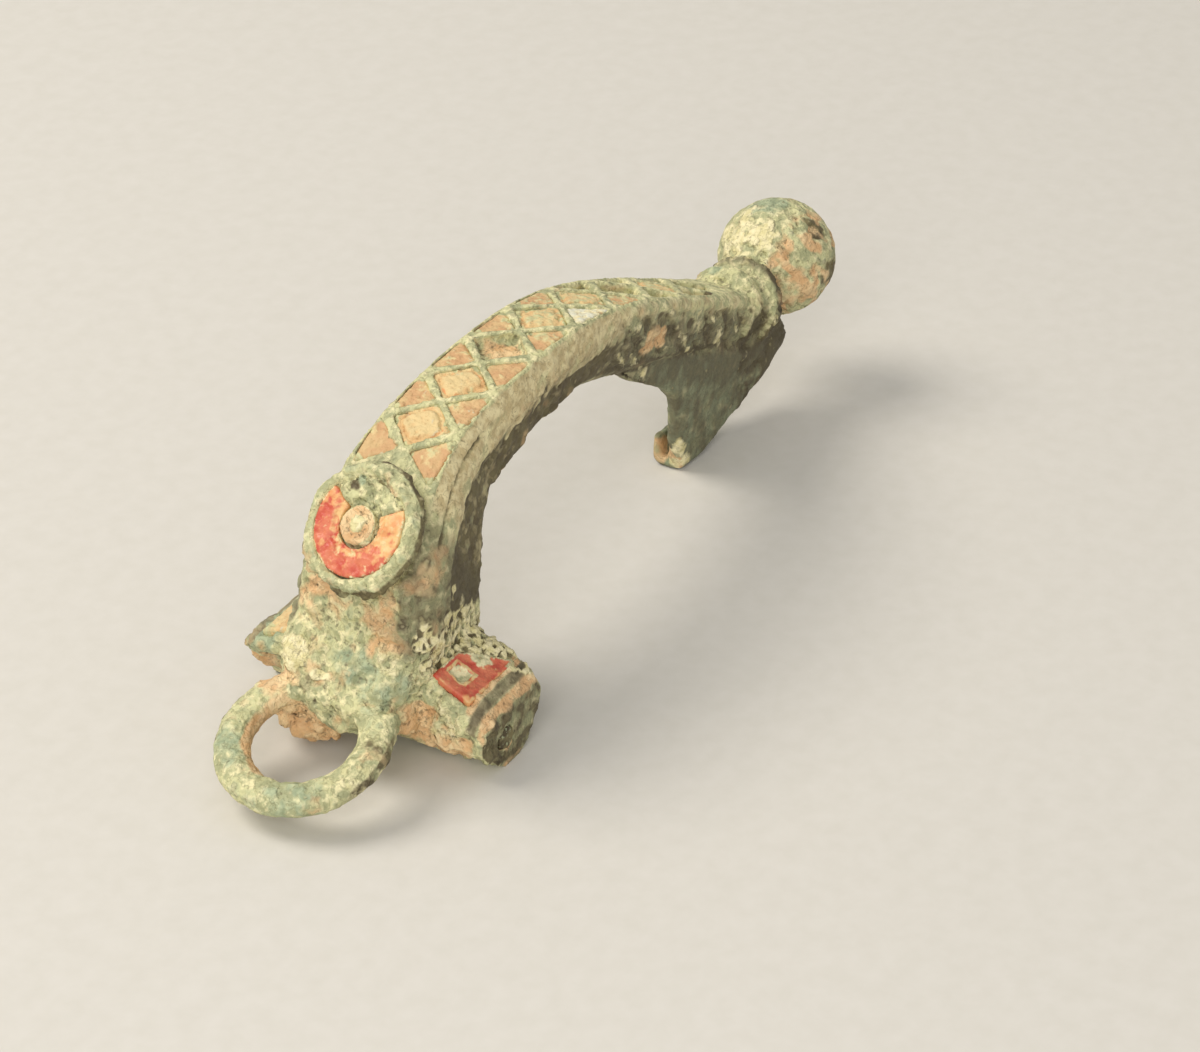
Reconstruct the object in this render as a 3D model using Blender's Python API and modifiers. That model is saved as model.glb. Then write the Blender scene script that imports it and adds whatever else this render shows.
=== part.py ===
"""A bow brooch with a headstud, short wings and a cast head loop. Metres, +Z up.

It lies as a loose find does, on the bottom of its wings and the hook of its catch plate.
+X runs from the head loop to the foot knob, and the wings reach out along Y. The datum of the
sizes below is the middle of the wings; a last empty moves it all so that the origin is under
the middle of the whole brooch.
"""

from math import atan2, cos, hypot, pi, radians, sin

import bmesh
import bpy
import numpy as np
from mathutils import Matrix, Vector

MM = 0.001

# Clearance round each inlay and round the hinge bar
FIT_GAP = 0.07 * MM

# Bow: rows of top point (x, z), under point (x, z), half width on top and half width below
BOW_ROWS = MM * np.array((
    (-3.7, 3.0, 2.6, 3.0, 4.60, 4.1),
    (-3.9, 6.0, 4.9, 5.4, 4.70, 4.2),
    (-3.8, 8.6, 5.9, 8.0, 4.75, 3.8),
    (-3.1, 11.4, 6.6, 9.8, 4.60, 3.5),
    (-1.3, 14.5, 7.1, 10.9, 4.15, 3.2),
    (1.0, 17.0, 7.9, 11.9, 3.75, 2.9),
    (4.0, 18.5, 9.0, 12.7, 3.35, 2.5),
    (7.4, 19.25, 10.9, 13.3, 3.25, 2.4),
    (11.2, 19.6, 13.3, 13.8, 3.25, 2.4),
    (16.0, 19.65, 16.4, 14.2, 3.20, 2.3),
    (20.8, 19.1, 19.8, 13.9, 3.15, 2.2),
    (26.3, 17.5, 24.6, 12.4, 3.05, 2.1),
    (30.7, 15.7, 29.2, 10.9, 2.90, 2.0),
    (35.3, 13.6, 33.9, 9.3, 2.70, 1.9),
    (39.4, 11.7, 38.2, 7.9, 2.45, 1.8),
    (42.2, 10.4, 41.0, 7.0, 2.30, 1.7),
))
BOW_STEPS = 3
# Half of the length over which the bow's slope is taken
SLOPE_SPAN = 1.2 * MM

# Half of the bow's section: share of the half width, share of the depth from top to underside.
# No row of corners runs along the middle plane, where other forms cross the bow.
BOW_SECTION = (
    (0.14, -0.012),
    (0.5, -0.004),
    (0.84, 0.012),
    (1.0, 0.11),
    (1.03, 0.32),
    (1.0, 0.62),
    (0.97, 0.86),
    (0.7, 0.975),
    (0.25, 1.0),
)

# Cells on the bow: lozenges in a row with triangles between them at both sides
CELL_START = 17.1 * MM
CELL_COUNT = 8
CELL_FIRST = 4.3 * MM
CELL_LAST = 5.35 * MM
CELL_HALF_SHARE = 0.70
BORDER_SHARE = 0.83
RIB = 0.42 * MM
CELL_DEPTH = 0.75 * MM
FILL_SUNK = 0.22 * MM
# How far a cutter stands out of the surface that it cuts, and out past the end of a form
CUT_ABOVE = 0.9 * MM
CUT_PAST = 1.0 * MM
# Cells that have lost their enamel, counted from the head
EMPTY_LOZENGES = (3, 6, 8)
EMPTY_TRIANGLES = ("left_6", "left_7", "left_8", "right_7", "right_8")

# Wings: one bar of rounded section with a domed top
WING_HALF_SPAN = 8.9 * MM
WING_FRONT = -3.4 * MM
WING_REAR = 3.3 * MM
WING_END_HEIGHT = 3.8 * MM
WING_DOME = 3.4 * MM
WING_STEPS = 27
# The flat strip that the wings rest on, and the belly above it at the front
FOOT_FRONT = -1.0 * MM
FOOT_REAR = 0.9 * MM
WING_CHAMFER = (-2.2 * MM, 0.95 * MM)
WING_BELLY = 2.0 * MM
# The wing's section above the belly: share of the depth from front to rear, share of the top's height
WING_SECTION = (
    (0.01, 0.72),
    (0.09, 0.88),
    (0.22, 0.955),
    (0.51, 0.985),
    (0.88, 1.0),
    (0.97, 0.96),
    (1.0, 0.86),
    (0.98, 0.62),
    (0.88, 0.4),
    (0.79, 0.16),
)

# Corners of the sloping mass between neck, wings and loop, each with a twin across the middle
HEAD_FRONT = MM * np.array((
    (-6.5, 2.9, 3.2),
    (-6.6, 2.4, 4.9),
    (-5.2, 3.9, 6.4),
    (-3.3, 4.2, 9.2),
    (-4.2, 4.6, 3.0),
    (0.0, 4.1, 9.0),
    (-1.5, 4.4, 1.2),
))
# The lump of corrosion under the head
LUMP_CENTRE = (-4.8 * MM, 2.4 * MM, 2.15 * MM)
LUMP_SIZE = (1.6 * MM, 2.6 * MM, 1.2 * MM)

# Cell on each wing: a right-angled triangle with its inner corner cut off
WING_CELL_OUT = WING_HALF_SPAN - 1.15 * MM
WING_CELL_IN = WING_CELL_OUT - 2.85 * MM
WING_CELL_FRONT = -2.5 * MM
WING_CELL_BEND = 0.1 * MM
WING_CELL_REAR = 2.5 * MM
WING_CELL_DEPTH = 0.7 * MM
WING_FIELD_RISE = 0.12 * MM

# Hinge bar in the wings, and the slot that the lost pin turned in
HINGE_X = -0.7 * MM
HINGE_Z = 2.0 * MM
HINGE_RADIUS = 0.72 * MM
HINGE_END = 5.1 * MM
SLOT_HALF = 1.5 * MM
SLOT_TOP = 3.7 * MM
SLOT_REACH = 7.0 * MM
# The broken lower front edge of the left wing: where it starts, and its line in X and Z
BREAK_START = 5.7 * MM
BREAK_LINE = ((-3.0 * MM, 4.5 * MM), (0.35 * MM, -0.05 * MM))

# Head loop, cast with the head, its outer end a little lower
LOOP_CENTRE = (-8.95 * MM, 3.5 * MM)
LOOP_RADIUS = 4.38 * MM
LOOP_BAR = 1.24 * MM
LOOP_FLATTENING = 0.78
LOOP_TILT = radians(18.5)

# Headstud: a turned disc on a short stem, facing the head and turned a little to the left
STUD_CENTRE = (-1.85 * MM, -0.35 * MM, 14.55 * MM)
STUD_TILT = radians(51)
STUD_YAW = radians(8)
STUD_RADIUS = 4.1 * MM
STUD_FACE_RADIUS = 3.75 * MM
STUD_HEIGHT = 1.5 * MM
STUD_STEM_RADIUS = 3.0 * MM
STUD_STEM_DEPTH = 3.0 * MM
STUD_RIM = 0.6 * MM
STUD_RECESS = 0.6 * MM
STUD_BOSS_RADIUS = 1.45 * MM
STUD_FILL_START = radians(150)
STUD_FILL_END = radians(395)

# Foot: collar with two ridges round the bow's end, and a ball knob that turns up a little
COLLAR_BACK = 1.3 * MM
COLLAR_FALL = radians(17)
RIDGE_RADIUS = 2.8 * MM
RIDGE_AT = 1.0 * MM
RIM_RADIUS = 3.2 * MM
RIM_AT = 3.6 * MM
RIM_WIDTH = 0.9 * MM
NECK_RADIUS = 2.0 * MM
NECK_LENGTH = 2.0 * MM
KNOB_RADIUS = 4.1 * MM
# How much of the knob's radius the neck runs into, and the knob's rise above the neck's line
KNOB_SUNK = 0.2
KNOB_RISE = 2.75 * MM

# Catch plate: outline in X and Z below the bow, from the head side round to the foot
PLATE_OUTLINE = MM * np.array((
    (24.0, 13.0),
    (27.2, 10.6),
    (29.4, 9.2),
    (31.5, 7.8),
    (32.8, 6.4),
    (33.2, 4.8),
    (33.5, 2.8),
    (34.2, 0.35),
    (36.4, 0.35),
    (39.1, 1.2),
    (41.6, 2.1),
    (44.0, 3.05),
    (45.9, 3.9),
    (47.1, 4.7),
    (46.2, 6.6),
    (42.5, 9.0),
    (36.0, 11.0),
))
PLATE_THICKNESS = 1.05 * MM
PLATE_LEAN_Z = -0.08
PLATE_LEAN_X = -0.06
PLATE_MIDDLE = (36.0 * MM, -0.45 * MM)

# The hook at the plate's lower edge, which held the point of the pin
HOOK_PATH = MM * np.array(((34.1, 0.0), (36.4, 0.0), (39.1, 0.85), (41.6, 1.75), (44.0, 2.7), (45.2, 3.2)))
HOOK_ROOT = 1.3 * MM
HOOK_REACH = 2.35 * MM
HOOK_RISE = 2.4 * MM
HOOK_WALL = 0.65 * MM
# How far the hook's root stands out from the plate on each side
HOOK_BEAD = 0.14 * MM

# Facets round turned parts
ROUND_STEPS = 48
KNOB_STEPS = 32
RING_STEPS = 44
BAR_STEPS = 12


def collection(name):
    """Make a collection under the scene."""
    made = bpy.data.collections.new(name)
    bpy.context.scene.collection.children.link(made)
    return made


def material(name, colour, roughness, metallic):
    """Make a Principled material of one colour."""
    made = bpy.data.materials.new(name)
    made.use_nodes = True
    shader = made.node_tree.nodes["Principled BSDF"]
    shader.inputs["Base Color"].default_value = (*colour, 1.0)
    shader.inputs["Roughness"].default_value = roughness
    shader.inputs["Metallic"].default_value = metallic
    made.diffuse_color = (*colour, 1.0)
    return made


def add_mesh(name, bm, group, parent, finish=None):
    """Turn a bmesh into a named object, in triangles so that each face is flat."""
    bmesh.ops.triangulate(bm, faces=bm.faces)
    bmesh.ops.recalc_face_normals(bm, faces=bm.faces)
    mesh = bpy.data.meshes.new(name)
    bm.to_mesh(mesh)
    bm.free()
    made = bpy.data.objects.new(name, mesh)
    group.objects.link(made)
    made.parent = parent
    if finish:
        mesh.materials.append(finish)
    return made


def as_guide(made):
    """Hide an object that only joins or cuts another."""
    made.hide_render = True
    made.display_type = "WIRE"
    return made


def loft(bm, rings):
    """Join rings of equal length with quads, and cap both ends."""
    rows = [[bm.verts.new(point) for point in ring] for ring in rings]
    for near, far in zip(rows, rows[1:]):
        count = len(near)
        for index in range(count):
            following = (index + 1) % count
            bm.faces.new((near[index], near[following], far[following], far[index]))
    bm.faces.new(rows[0])
    bm.faces.new(rows[-1])


def smooth_rows(rows, steps):
    """Points on a curve through every row, with the given number of steps between rows."""
    rows = np.array(rows, dtype=float)
    padded = np.vstack((2 * rows[0] - rows[1], rows, 2 * rows[-1] - rows[-2]))
    points = []
    for index in range(len(rows) - 1):
        before, start, end, after = padded[index : index + 4]
        for step in range(steps):
            t = step / steps
            points.append(
                0.5
                * (
                    2 * start
                    + (end - before) * t
                    + (2 * before - 5 * start + 4 * end - after) * t**2
                    + (3 * start - before - 3 * end + after) * t**3
                )
            )
    points.append(rows[-1])
    return np.array(points)


def bow_rows():
    """The bow's rows in metres, close enough together to look smooth."""
    return smooth_rows(BOW_ROWS, BOW_STEPS)


def bow_frame(distance):
    """Place, tangent, outward normal and half width on the bow's top, at a distance along it."""
    rows = smooth_rows(BOW_ROWS, 4 * BOW_STEPS)
    lengths = np.concatenate(([0.0], np.cumsum(np.hypot(*np.diff(rows[:, :2], axis=0).T))))
    values = [np.interp(distance, lengths, rows[:, column]) for column in (0, 1, 4)]
    ends = [
        [np.interp(distance + side * SLOPE_SPAN, lengths, rows[:, column]) for column in (0, 1)]
        for side in (-1, 1)
    ]
    tangent = Vector((ends[1][0] - ends[0][0], 0, ends[1][1] - ends[0][1])).normalized()
    normal = Vector((-tangent.z, 0, tangent.x))
    return Vector((values[0], 0, values[1])), tangent, normal, values[2]


def make_bow(group, parent):
    """Loft the bow from the wings to the foot."""
    rings = []
    for top_x, top_z, under_x, under_z, half_top, half_under in bow_rows():
        ring = []
        for across, down in BOW_SECTION:
            half = half_top + (half_under - half_top) * down
            place = (top_x + (under_x - top_x) * down, across * half, top_z + (under_z - top_z) * down)
            ring.append(place)
        mirrored = [(x, -y, z) for x, y, z in reversed(ring)]
        rings.append(ring + mirrored)
    bm = bmesh.new()
    loft(bm, rings)
    return as_guide(add_mesh("bow", bm, group, parent))


def wing_top(y):
    """Height of the wing's top above the ground at a distance from the middle."""
    share = min(abs(y) / WING_HALF_SPAN, 1.0)
    return WING_END_HEIGHT + WING_DOME * (1 - share**1.9) ** 0.62


def wing_section(y):
    """The wing's outline across, from the foot strip round by the front and the top."""
    top = wing_top(y)
    depth = WING_REAR - WING_FRONT
    upper = [(WING_FRONT + depth * back, top * high) for back, high in WING_SECTION]
    return [(FOOT_FRONT, 0.0), WING_CHAMFER, (WING_FRONT, WING_BELLY), *upper, (FOOT_REAR, 0.0)]


def make_wings(group, parent):
    """Loft both wings as one bar along Y."""
    rings = []
    for step in range(WING_STEPS + 1):
        # Steps crowd towards the ends, where the top falls fastest
        y = WING_HALF_SPAN * sin(0.5 * pi * (2 * step / WING_STEPS - 1))
        rings.append([(x, y, z) for x, z in wing_section(y)])
    bm = bmesh.new()
    loft(bm, rings)
    return as_guide(add_mesh("wings", bm, group, parent))


def make_hull(name, points, group, parent):
    """Wrap a convex shape round a few points."""
    bm = bmesh.new()
    for point in points:
        bm.verts.new(point)
    hull = bmesh.ops.convex_hull(bm, input=bm.verts)
    bmesh.ops.delete(bm, geom=hull["geom_interior"], context="VERTS")
    return as_guide(add_mesh(name, bm, group, parent))


def mirrored_pair(x, y, z):
    """A point and its twin across the middle plane."""
    return [(x, y, z), (x, -y, z)]


def make_head_front(group, parent):
    """The sloping mass between neck, wings and loop."""
    points = []
    for corner in HEAD_FRONT:
        points += mirrored_pair(*corner)
    return make_hull("head_front", points, group, parent)


def make_head_lump(group, parent):
    """The lump of corrosion under the head, seen through the loop."""
    bm = bmesh.new()
    bmesh.ops.create_icosphere(bm, subdivisions=2, radius=1.0)
    bmesh.ops.scale(bm, verts=bm.verts, vec=LUMP_SIZE)
    bmesh.ops.translate(bm, verts=bm.verts, vec=LUMP_CENTRE)
    return as_guide(add_mesh("head_lump", bm, group, parent))


def make_loop(group, parent):
    """The cast ring at the head."""
    bpy.ops.mesh.primitive_torus_add(
        major_radius=LOOP_RADIUS,
        minor_radius=LOOP_BAR,
        major_segments=RING_STEPS,
        minor_segments=BAR_STEPS,
    )
    made = bpy.context.object
    made.name = "loop"
    place = Matrix.Translation((LOOP_CENTRE[0], 0, LOOP_CENTRE[1]))
    tilt = Matrix.Rotation(-LOOP_TILT, 4, "Y")
    half_facet = Matrix.Rotation(pi / RING_STEPS, 4, "Z")
    flattening = Matrix.Scale(LOOP_FLATTENING, 4, (0, 0, 1))
    made.matrix_local = place @ tilt @ half_facet @ flattening
    for owner in list(made.users_collection):
        owner.objects.unlink(made)
    group.objects.link(made)
    made.parent = parent
    return as_guide(made)


def make_turned(name, profile, steps, group, parent):
    """Turn a profile of (radius, height), from its top down its outer side, about local Z."""
    mesh = bpy.data.meshes.new(name)
    # Half a facet round, so that no corner lies on the middle plane
    turn = pi / steps
    points = [(radius * cos(turn), radius * sin(turn), height) for radius, height in profile]
    mesh.from_pydata(points, [(i, i + 1) for i in range(len(points) - 1)], [])
    made = bpy.data.objects.new(name, mesh)
    group.objects.link(made)
    made.parent = parent
    screw = made.modifiers.new("Turn", "SCREW")
    screw.steps = steps
    screw.render_steps = steps
    screw.use_merge_vertices = True
    screw.merge_threshold = 0.00001
    return as_guide(made)


def stud_matrix():
    """The stud's own frame: local Z out of its face, local X to the viewer's right, local Y up."""
    out = Vector((-sin(STUD_TILT) * cos(STUD_YAW), sin(STUD_TILT) * sin(STUD_YAW), cos(STUD_TILT)))
    right = Vector((-sin(STUD_YAW), -cos(STUD_YAW), 0))
    up = out.cross(right)
    matrix = Matrix((right, up, out)).transposed().to_4x4()
    matrix.translation = STUD_CENTRE
    return matrix


def stud_recess():
    """Inner radius, outer radius and floor height of the stud's ring-shaped recess."""
    return STUD_BOSS_RADIUS, STUD_FACE_RADIUS - STUD_RIM, STUD_HEIGHT - STUD_RECESS


def make_stud(group, parent):
    """Disc with a rim, a ring recess for enamel, and a boss with a dimple."""
    inner, outer, floor = stud_recess()
    dimple = 0.5 * inner
    profile = (
        (0.0, 0.75 * STUD_HEIGHT),
        (dimple, 0.83 * STUD_HEIGHT),
        (1.2 * dimple, STUD_HEIGHT),
        (0.9 * inner, STUD_HEIGHT),
        (inner, floor),
        (outer, floor),
        (1.015 * outer, 0.92 * STUD_HEIGHT),
        (0.93 * STUD_FACE_RADIUS, 1.015 * STUD_HEIGHT),
        (STUD_FACE_RADIUS, 0.9 * STUD_HEIGHT),
        (0.993 * STUD_RADIUS, 0.45 * STUD_HEIGHT),
        (STUD_RADIUS, 0.25 * STUD_HEIGHT),
        (0.94 * STUD_RADIUS, 0.0),
        (STUD_STEM_RADIUS, -0.08 * STUD_HEIGHT),
        (0.85 * STUD_STEM_RADIUS, -STUD_STEM_DEPTH),
        (0.0, -STUD_STEM_DEPTH),
    )
    made = make_turned("stud", profile, ROUND_STEPS, group, parent)
    made.matrix_local = stud_matrix()
    return made


def collar_start():
    """Where the collar's axis starts, a little back from the bow's end."""
    top_x, top_z, under_x, under_z = BOW_ROWS[-1][:4]
    return 0.5 * (top_x + under_x) - COLLAR_BACK, 0.5 * (top_z + under_z) + 0.65 * COLLAR_BACK


def knob_centre():
    """The knob's middle, on the end of the collar's neck."""
    x, z = collar_start()
    reach = RIM_AT + NECK_LENGTH + (1 - KNOB_SUNK) * KNOB_RADIUS
    return x + reach * cos(COLLAR_FALL), z - reach * sin(COLLAR_FALL) + KNOB_RISE


def make_collar_and_knob(group, parent):
    """Two ridges round the foot's end, then the ball."""
    profile = (
        (0.0, RIM_AT + NECK_LENGTH),
        (NECK_RADIUS, RIM_AT + NECK_LENGTH),
        (1.05 * NECK_RADIUS, RIM_AT + 0.4 * RIM_WIDTH),
        (0.81 * RIM_RADIUS, RIM_AT + 0.33 * RIM_WIDTH),
        (0.94 * RIM_RADIUS, RIM_AT + 0.5 * RIM_WIDTH),
        (RIM_RADIUS, RIM_AT),
        (0.95 * RIM_RADIUS, RIM_AT - 0.5 * RIM_WIDTH),
        (0.77 * RIM_RADIUS, RIM_AT - 0.8 * RIM_WIDTH),
        (0.86 * RIDGE_RADIUS, RIDGE_AT + 0.83 * RIM_WIDTH),
        (RIDGE_RADIUS, RIDGE_AT + 0.4 * RIM_WIDTH),
        (RIDGE_RADIUS, RIDGE_AT - 0.17 * RIM_WIDTH),
        (0.79 * RIDGE_RADIUS, RIDGE_AT - 0.9 * RIM_WIDTH),
        (0.0, RIDGE_AT - 0.9 * RIM_WIDTH),
    )
    collar = make_turned("collar", profile, ROUND_STEPS, group, parent)
    x, z = collar_start()
    collar.location = (x, 0, z)
    collar.rotation_euler = (0, pi / 2 + COLLAR_FALL, 0)
    bm = bmesh.new()
    bmesh.ops.create_uvsphere(bm, u_segments=KNOB_STEPS, v_segments=20, radius=KNOB_RADIUS)
    half_facet = Matrix.Rotation(pi / KNOB_STEPS, 3, "Z")
    bmesh.ops.rotate(bm, verts=bm.verts, matrix=Matrix.Rotation(pi / 2, 3, "Y") @ half_facet)
    x, z = knob_centre()
    bmesh.ops.translate(bm, verts=bm.verts, vec=(x, 0, z))
    return collar, as_guide(add_mesh("knob", bm, group, parent))


def plate_middle(x, z):
    """How far the catch plate's middle stands off the brooch's middle plane."""
    return PLATE_MIDDLE[1] + PLATE_LEAN_Z * z + PLATE_LEAN_X * (x - PLATE_MIDDLE[0])


def make_catch_plate(group, parent):
    """The thin plate below the foot, leaning a little across the bow."""
    bm = bmesh.new()
    face = bm.faces.new([bm.verts.new((x, -0.5 * PLATE_THICKNESS, z)) for x, z in PLATE_OUTLINE])
    grown = bmesh.ops.extrude_face_region(bm, geom=[face])
    moved = [item for item in grown["geom"] if isinstance(item, bmesh.types.BMVert)]
    bmesh.ops.translate(bm, verts=moved, vec=(0, PLATE_THICKNESS, 0))
    for vert in bm.verts:
        vert.co.y += plate_middle(vert.co.x, vert.co.z)
    return as_guide(add_mesh("catch_plate", bm, group, parent))


def make_hook(group, parent):
    """The turned-up lower edge of the catch plate."""
    half = 0.5 * PLATE_THICKNESS
    rings = []
    path = np.maximum(smooth_rows(HOOK_PATH, 2), 0.0)
    for index, (x, z) in enumerate(path):
        # The hook runs out towards the foot
        rise = HOOK_RISE * (1 - 0.55 * (index / (len(path) - 1)) ** 2)
        reach = HOOK_REACH * (1 - 0.12 * (index / (len(path) - 1)) ** 2)
        outer = reach - half
        section = (
            (-half - HOOK_BEAD, HOOK_ROOT),
            (-half - HOOK_BEAD, 0.45 * HOOK_WALL),
            (-0.33 * half, 0.0),
            (outer - 0.7 * HOOK_WALL, 0.0),
            (outer, 0.6 * HOOK_WALL),
            (outer, rise - 0.23 * HOOK_WALL),
            (outer - 0.3 * HOOK_WALL, rise),
            (outer - HOOK_WALL, rise - 0.15 * HOOK_WALL),
            (outer - HOOK_WALL, 1.23 * HOOK_WALL),
            (half + HOOK_BEAD, HOOK_WALL),
            (half + HOOK_BEAD, HOOK_ROOT),
        )
        rings.append([(x, y + plate_middle(x, z), z + height) for y, height in section])
    bm = bmesh.new()
    loft(bm, rings)
    return as_guide(add_mesh("hook", bm, group, parent))


def cell_centres():
    """Distance along the bow of each lozenge's middle, and its length from tip to tip."""
    places = []
    start = CELL_START
    for index in range(CELL_COUNT):
        length = CELL_FIRST + (CELL_LAST - CELL_FIRST) * index / (CELL_COUNT - 1)
        places.append((start + 0.5 * length, length))
        start += length
    return places


def inset(corners, amount):
    """Move the sides of a convex outline inwards, corners given anticlockwise."""
    moved = []
    count = len(corners)
    for index in range(count):
        before, here, after = (Vector(corners[(index + k) % count]) for k in (-1, 0, 1))
        into, out = (here - before).normalized(), (after - here).normalized()
        normal_in, normal_out = Vector((-into.y, into.x)), Vector((-out.y, out.x))
        bisector = (normal_in + normal_out).normalized()
        moved.append(here + bisector * amount / max(bisector.dot(normal_in), 0.2))
    return moved


def prism(bm, corners, low, high, origin, along, across, out):
    """Raise an outline given on two axes between two heights on the third."""
    rings = []
    for height in (low, high):
        rings.append([origin + along * u + across * v + out * height for u, v in corners])
    loft(bm, rings)


def bow_cells():
    """Every cell on the bow: name, outline and the frame that it is drawn in."""
    cells = []
    across = Vector((0, 1, 0))
    length_before = CELL_FIRST
    for index, (distance, length) in enumerate(cell_centres()):
        origin, along, out, half = bow_frame(distance)
        side = CELL_HALF_SHARE * half
        lozenge = [(-0.5 * length, 0), (0, -side), (0.5 * length, 0), (0, side)]
        cells.append((f"lozenge_{index + 1}", inset(lozenge, 0.5 * RIB), origin, along, across, out))

        # The triangles beside this lozenge's tip towards the head
        origin, along, out, half = bow_frame(distance - 0.5 * length)
        border = BORDER_SHARE * half
        for name, sign in (("right", -1), ("left", 1)):
            triangle = [(0, 0), (0.5 * length, sign * border), (-0.5 * length_before, sign * border)]
            if sign < 0:
                triangle.reverse()
            place = (inset(triangle, 0.5 * RIB), origin, along, across, out)
            cells.append((f"triangle_{name}_{index + 1}", *place))
        length_before = length
    return cells


def wing_cell_frame(sign):
    """Origin and axes of the sloping field on one wing's top."""
    middle = 0.5 * (WING_CELL_IN + WING_CELL_OUT)
    low, high = wing_top(WING_CELL_OUT), wing_top(WING_CELL_IN)
    slope = atan2(high - low, WING_CELL_OUT - WING_CELL_IN)
    across = Vector((0, sign * cos(slope), -sin(slope)))
    along = Vector((1, 0, 0.03)).normalized()
    out = along.cross(across) if sign > 0 else across.cross(along)
    height = 0.5 * (low + high) + WING_FIELD_RISE
    return Vector((0, sign * middle, height)), along, across, out.normalized()


def wing_cell_outline():
    """The four-cornered cell on a wing, anticlockwise in its frame's two axes."""
    middle = 0.5 * (WING_CELL_IN + WING_CELL_OUT)
    inner, outer = WING_CELL_IN - middle, WING_CELL_OUT - middle
    front, bend, rear = WING_CELL_FRONT, WING_CELL_BEND, WING_CELL_REAR
    return [(rear, outer), (front, outer), (front, inner), (bend, inner)]


def make_cell_cutters(group, parent):
    """One cutter for each cell on the bow and on the wings."""
    for name, outline, origin, along, across, out in bow_cells():
        bm = bmesh.new()
        prism(bm, outline, -CELL_DEPTH, CUT_ABOVE, origin, along, across, out)
        as_guide(add_mesh(f"cut_{name}", bm, group, parent))
    for side, sign in (("right", -1), ("left", 1)):
        origin, along, across, out = wing_cell_frame(sign)
        bm = bmesh.new()
        prism(bm, wing_cell_outline(), -WING_CELL_DEPTH, CUT_ABOVE, origin, along, across, out)
        as_guide(add_mesh(f"cut_wing_{side}", bm, group, parent))


def make_bore_cutter(group, parent):
    """The bore along the wings, open at the right end and closed at the left."""
    start = -WING_HALF_SPAN - CUT_PAST
    length = HINGE_END + FIT_GAP - start
    bm = bmesh.new()
    bmesh.ops.create_cone(
        bm,
        cap_ends=True,
        segments=20,
        radius1=HINGE_RADIUS + FIT_GAP,
        radius2=HINGE_RADIUS + FIT_GAP,
        depth=length,
    )
    bmesh.ops.rotate(bm, verts=bm.verts, matrix=Matrix.Rotation(pi / 2, 3, "X"))
    bmesh.ops.translate(bm, verts=bm.verts, vec=(HINGE_X, start + 0.5 * length, HINGE_Z))
    as_guide(add_mesh("cut_bore", bm, group, parent))


def make_slot_cutter(group, parent):
    """The slot under the head that the lost pin turned in."""
    front = HINGE_X - 2 * HINGE_RADIUS
    back = SLOT_REACH
    points = []
    for x, z in ((front, -CUT_PAST), (back, -CUT_PAST), (back, 0.84 * SLOT_TOP), (0.75 * front, SLOT_TOP)):
        points += mirrored_pair(x, SLOT_HALF, z)
    return make_hull("cut_slot", points, group, parent)


def make_break_cutters(group, parent):
    """The broken lower front edge of the left wing."""
    (high_x, high_z), (low_x, low_z) = BREAK_LINE
    front, below = WING_FRONT - 2 * CUT_PAST, -CUT_PAST
    section = ((high_x, high_z), (low_x, low_z), (low_x, below), (front, below), (front, high_z))
    points = []
    for y in (BREAK_START, WING_HALF_SPAN + CUT_PAST):
        points += [(x, y, z) for x, z in section]
    make_hull("cut_left_break", points, group, parent)


def join_with(base, others):
    """Join every object of a collection to a base object."""
    join = base.modifiers.new("Join", "BOOLEAN")
    join.operation = "UNION"
    join.operand_type = "COLLECTION"
    join.collection = others


def make_body(cast, cuts, pieces, parent, finish):
    """Join the bow with the other cast forms and take the joined cuts out of it."""
    body = make_bow(pieces, parent)
    body.name = "brooch_body"
    body.hide_render = False
    body.display_type = "TEXTURED"
    body.data.materials.append(finish)
    join_with(body, cast)
    cut = body.modifiers.new("Cut", "BOOLEAN")
    cut.operation = "DIFFERENCE"
    cut.object = cuts
    return body


def make_bow_fills(group, parent, finishes):
    """What is left of the enamel in each cell on the bow."""
    for name, outline, origin, along, across, out in bow_cells():
        kind, _, number = name.partition("_")
        if kind == "lozenge" and int(number) in EMPTY_LOZENGES:
            continue
        if kind == "triangle" and number in EMPTY_TRIANGLES:
            continue
        bm = bmesh.new()
        low, high = -CELL_DEPTH + FIT_GAP, -FILL_SUNK
        prism(bm, inset(outline, FIT_GAP), low, high, origin, along, across, out)
        finish = finishes["cream"] if kind == "lozenge" else finishes["peach"]
        add_mesh(f"enamel_{name}", bm, group, parent, finish)


def make_wing_fills(group, parent, finishes):
    """Red enamel on the right wing, decayed enamel on the left one."""
    for side, sign, finish in (("right", -1, finishes["red"]), ("left", 1, finishes["cream"])):
        origin, along, across, out = wing_cell_frame(sign)
        bm = bmesh.new()
        outline = inset(wing_cell_outline(), FIT_GAP)
        prism(bm, outline, FIT_GAP - WING_CELL_DEPTH, -FILL_SUNK, origin, along, across, out)
        add_mesh(f"enamel_wing_{side}", bm, group, parent, finish)


def make_stud_fill(group, parent, finish):
    """The broken ring of red enamel on the stud."""
    inner, outer, floor = stud_recess()
    low, high = floor + FIT_GAP, 0.88 * STUD_HEIGHT
    inner, outer = inner + FIT_GAP, outer - FIT_GAP
    steps = 26
    rings = []
    for step in range(steps + 1):
        angle = STUD_FILL_START + (STUD_FILL_END - STUD_FILL_START) * step / steps
        ring = [(inner, low), (outer, low), (outer, high), (inner, high)]
        rings.append([(radius * cos(angle), radius * sin(angle), height) for radius, height in ring])
    bm = bmesh.new()
    loft(bm, rings)
    made = add_mesh("enamel_stud_ring", bm, group, parent, finish)
    made.matrix_local = stud_matrix()


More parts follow.
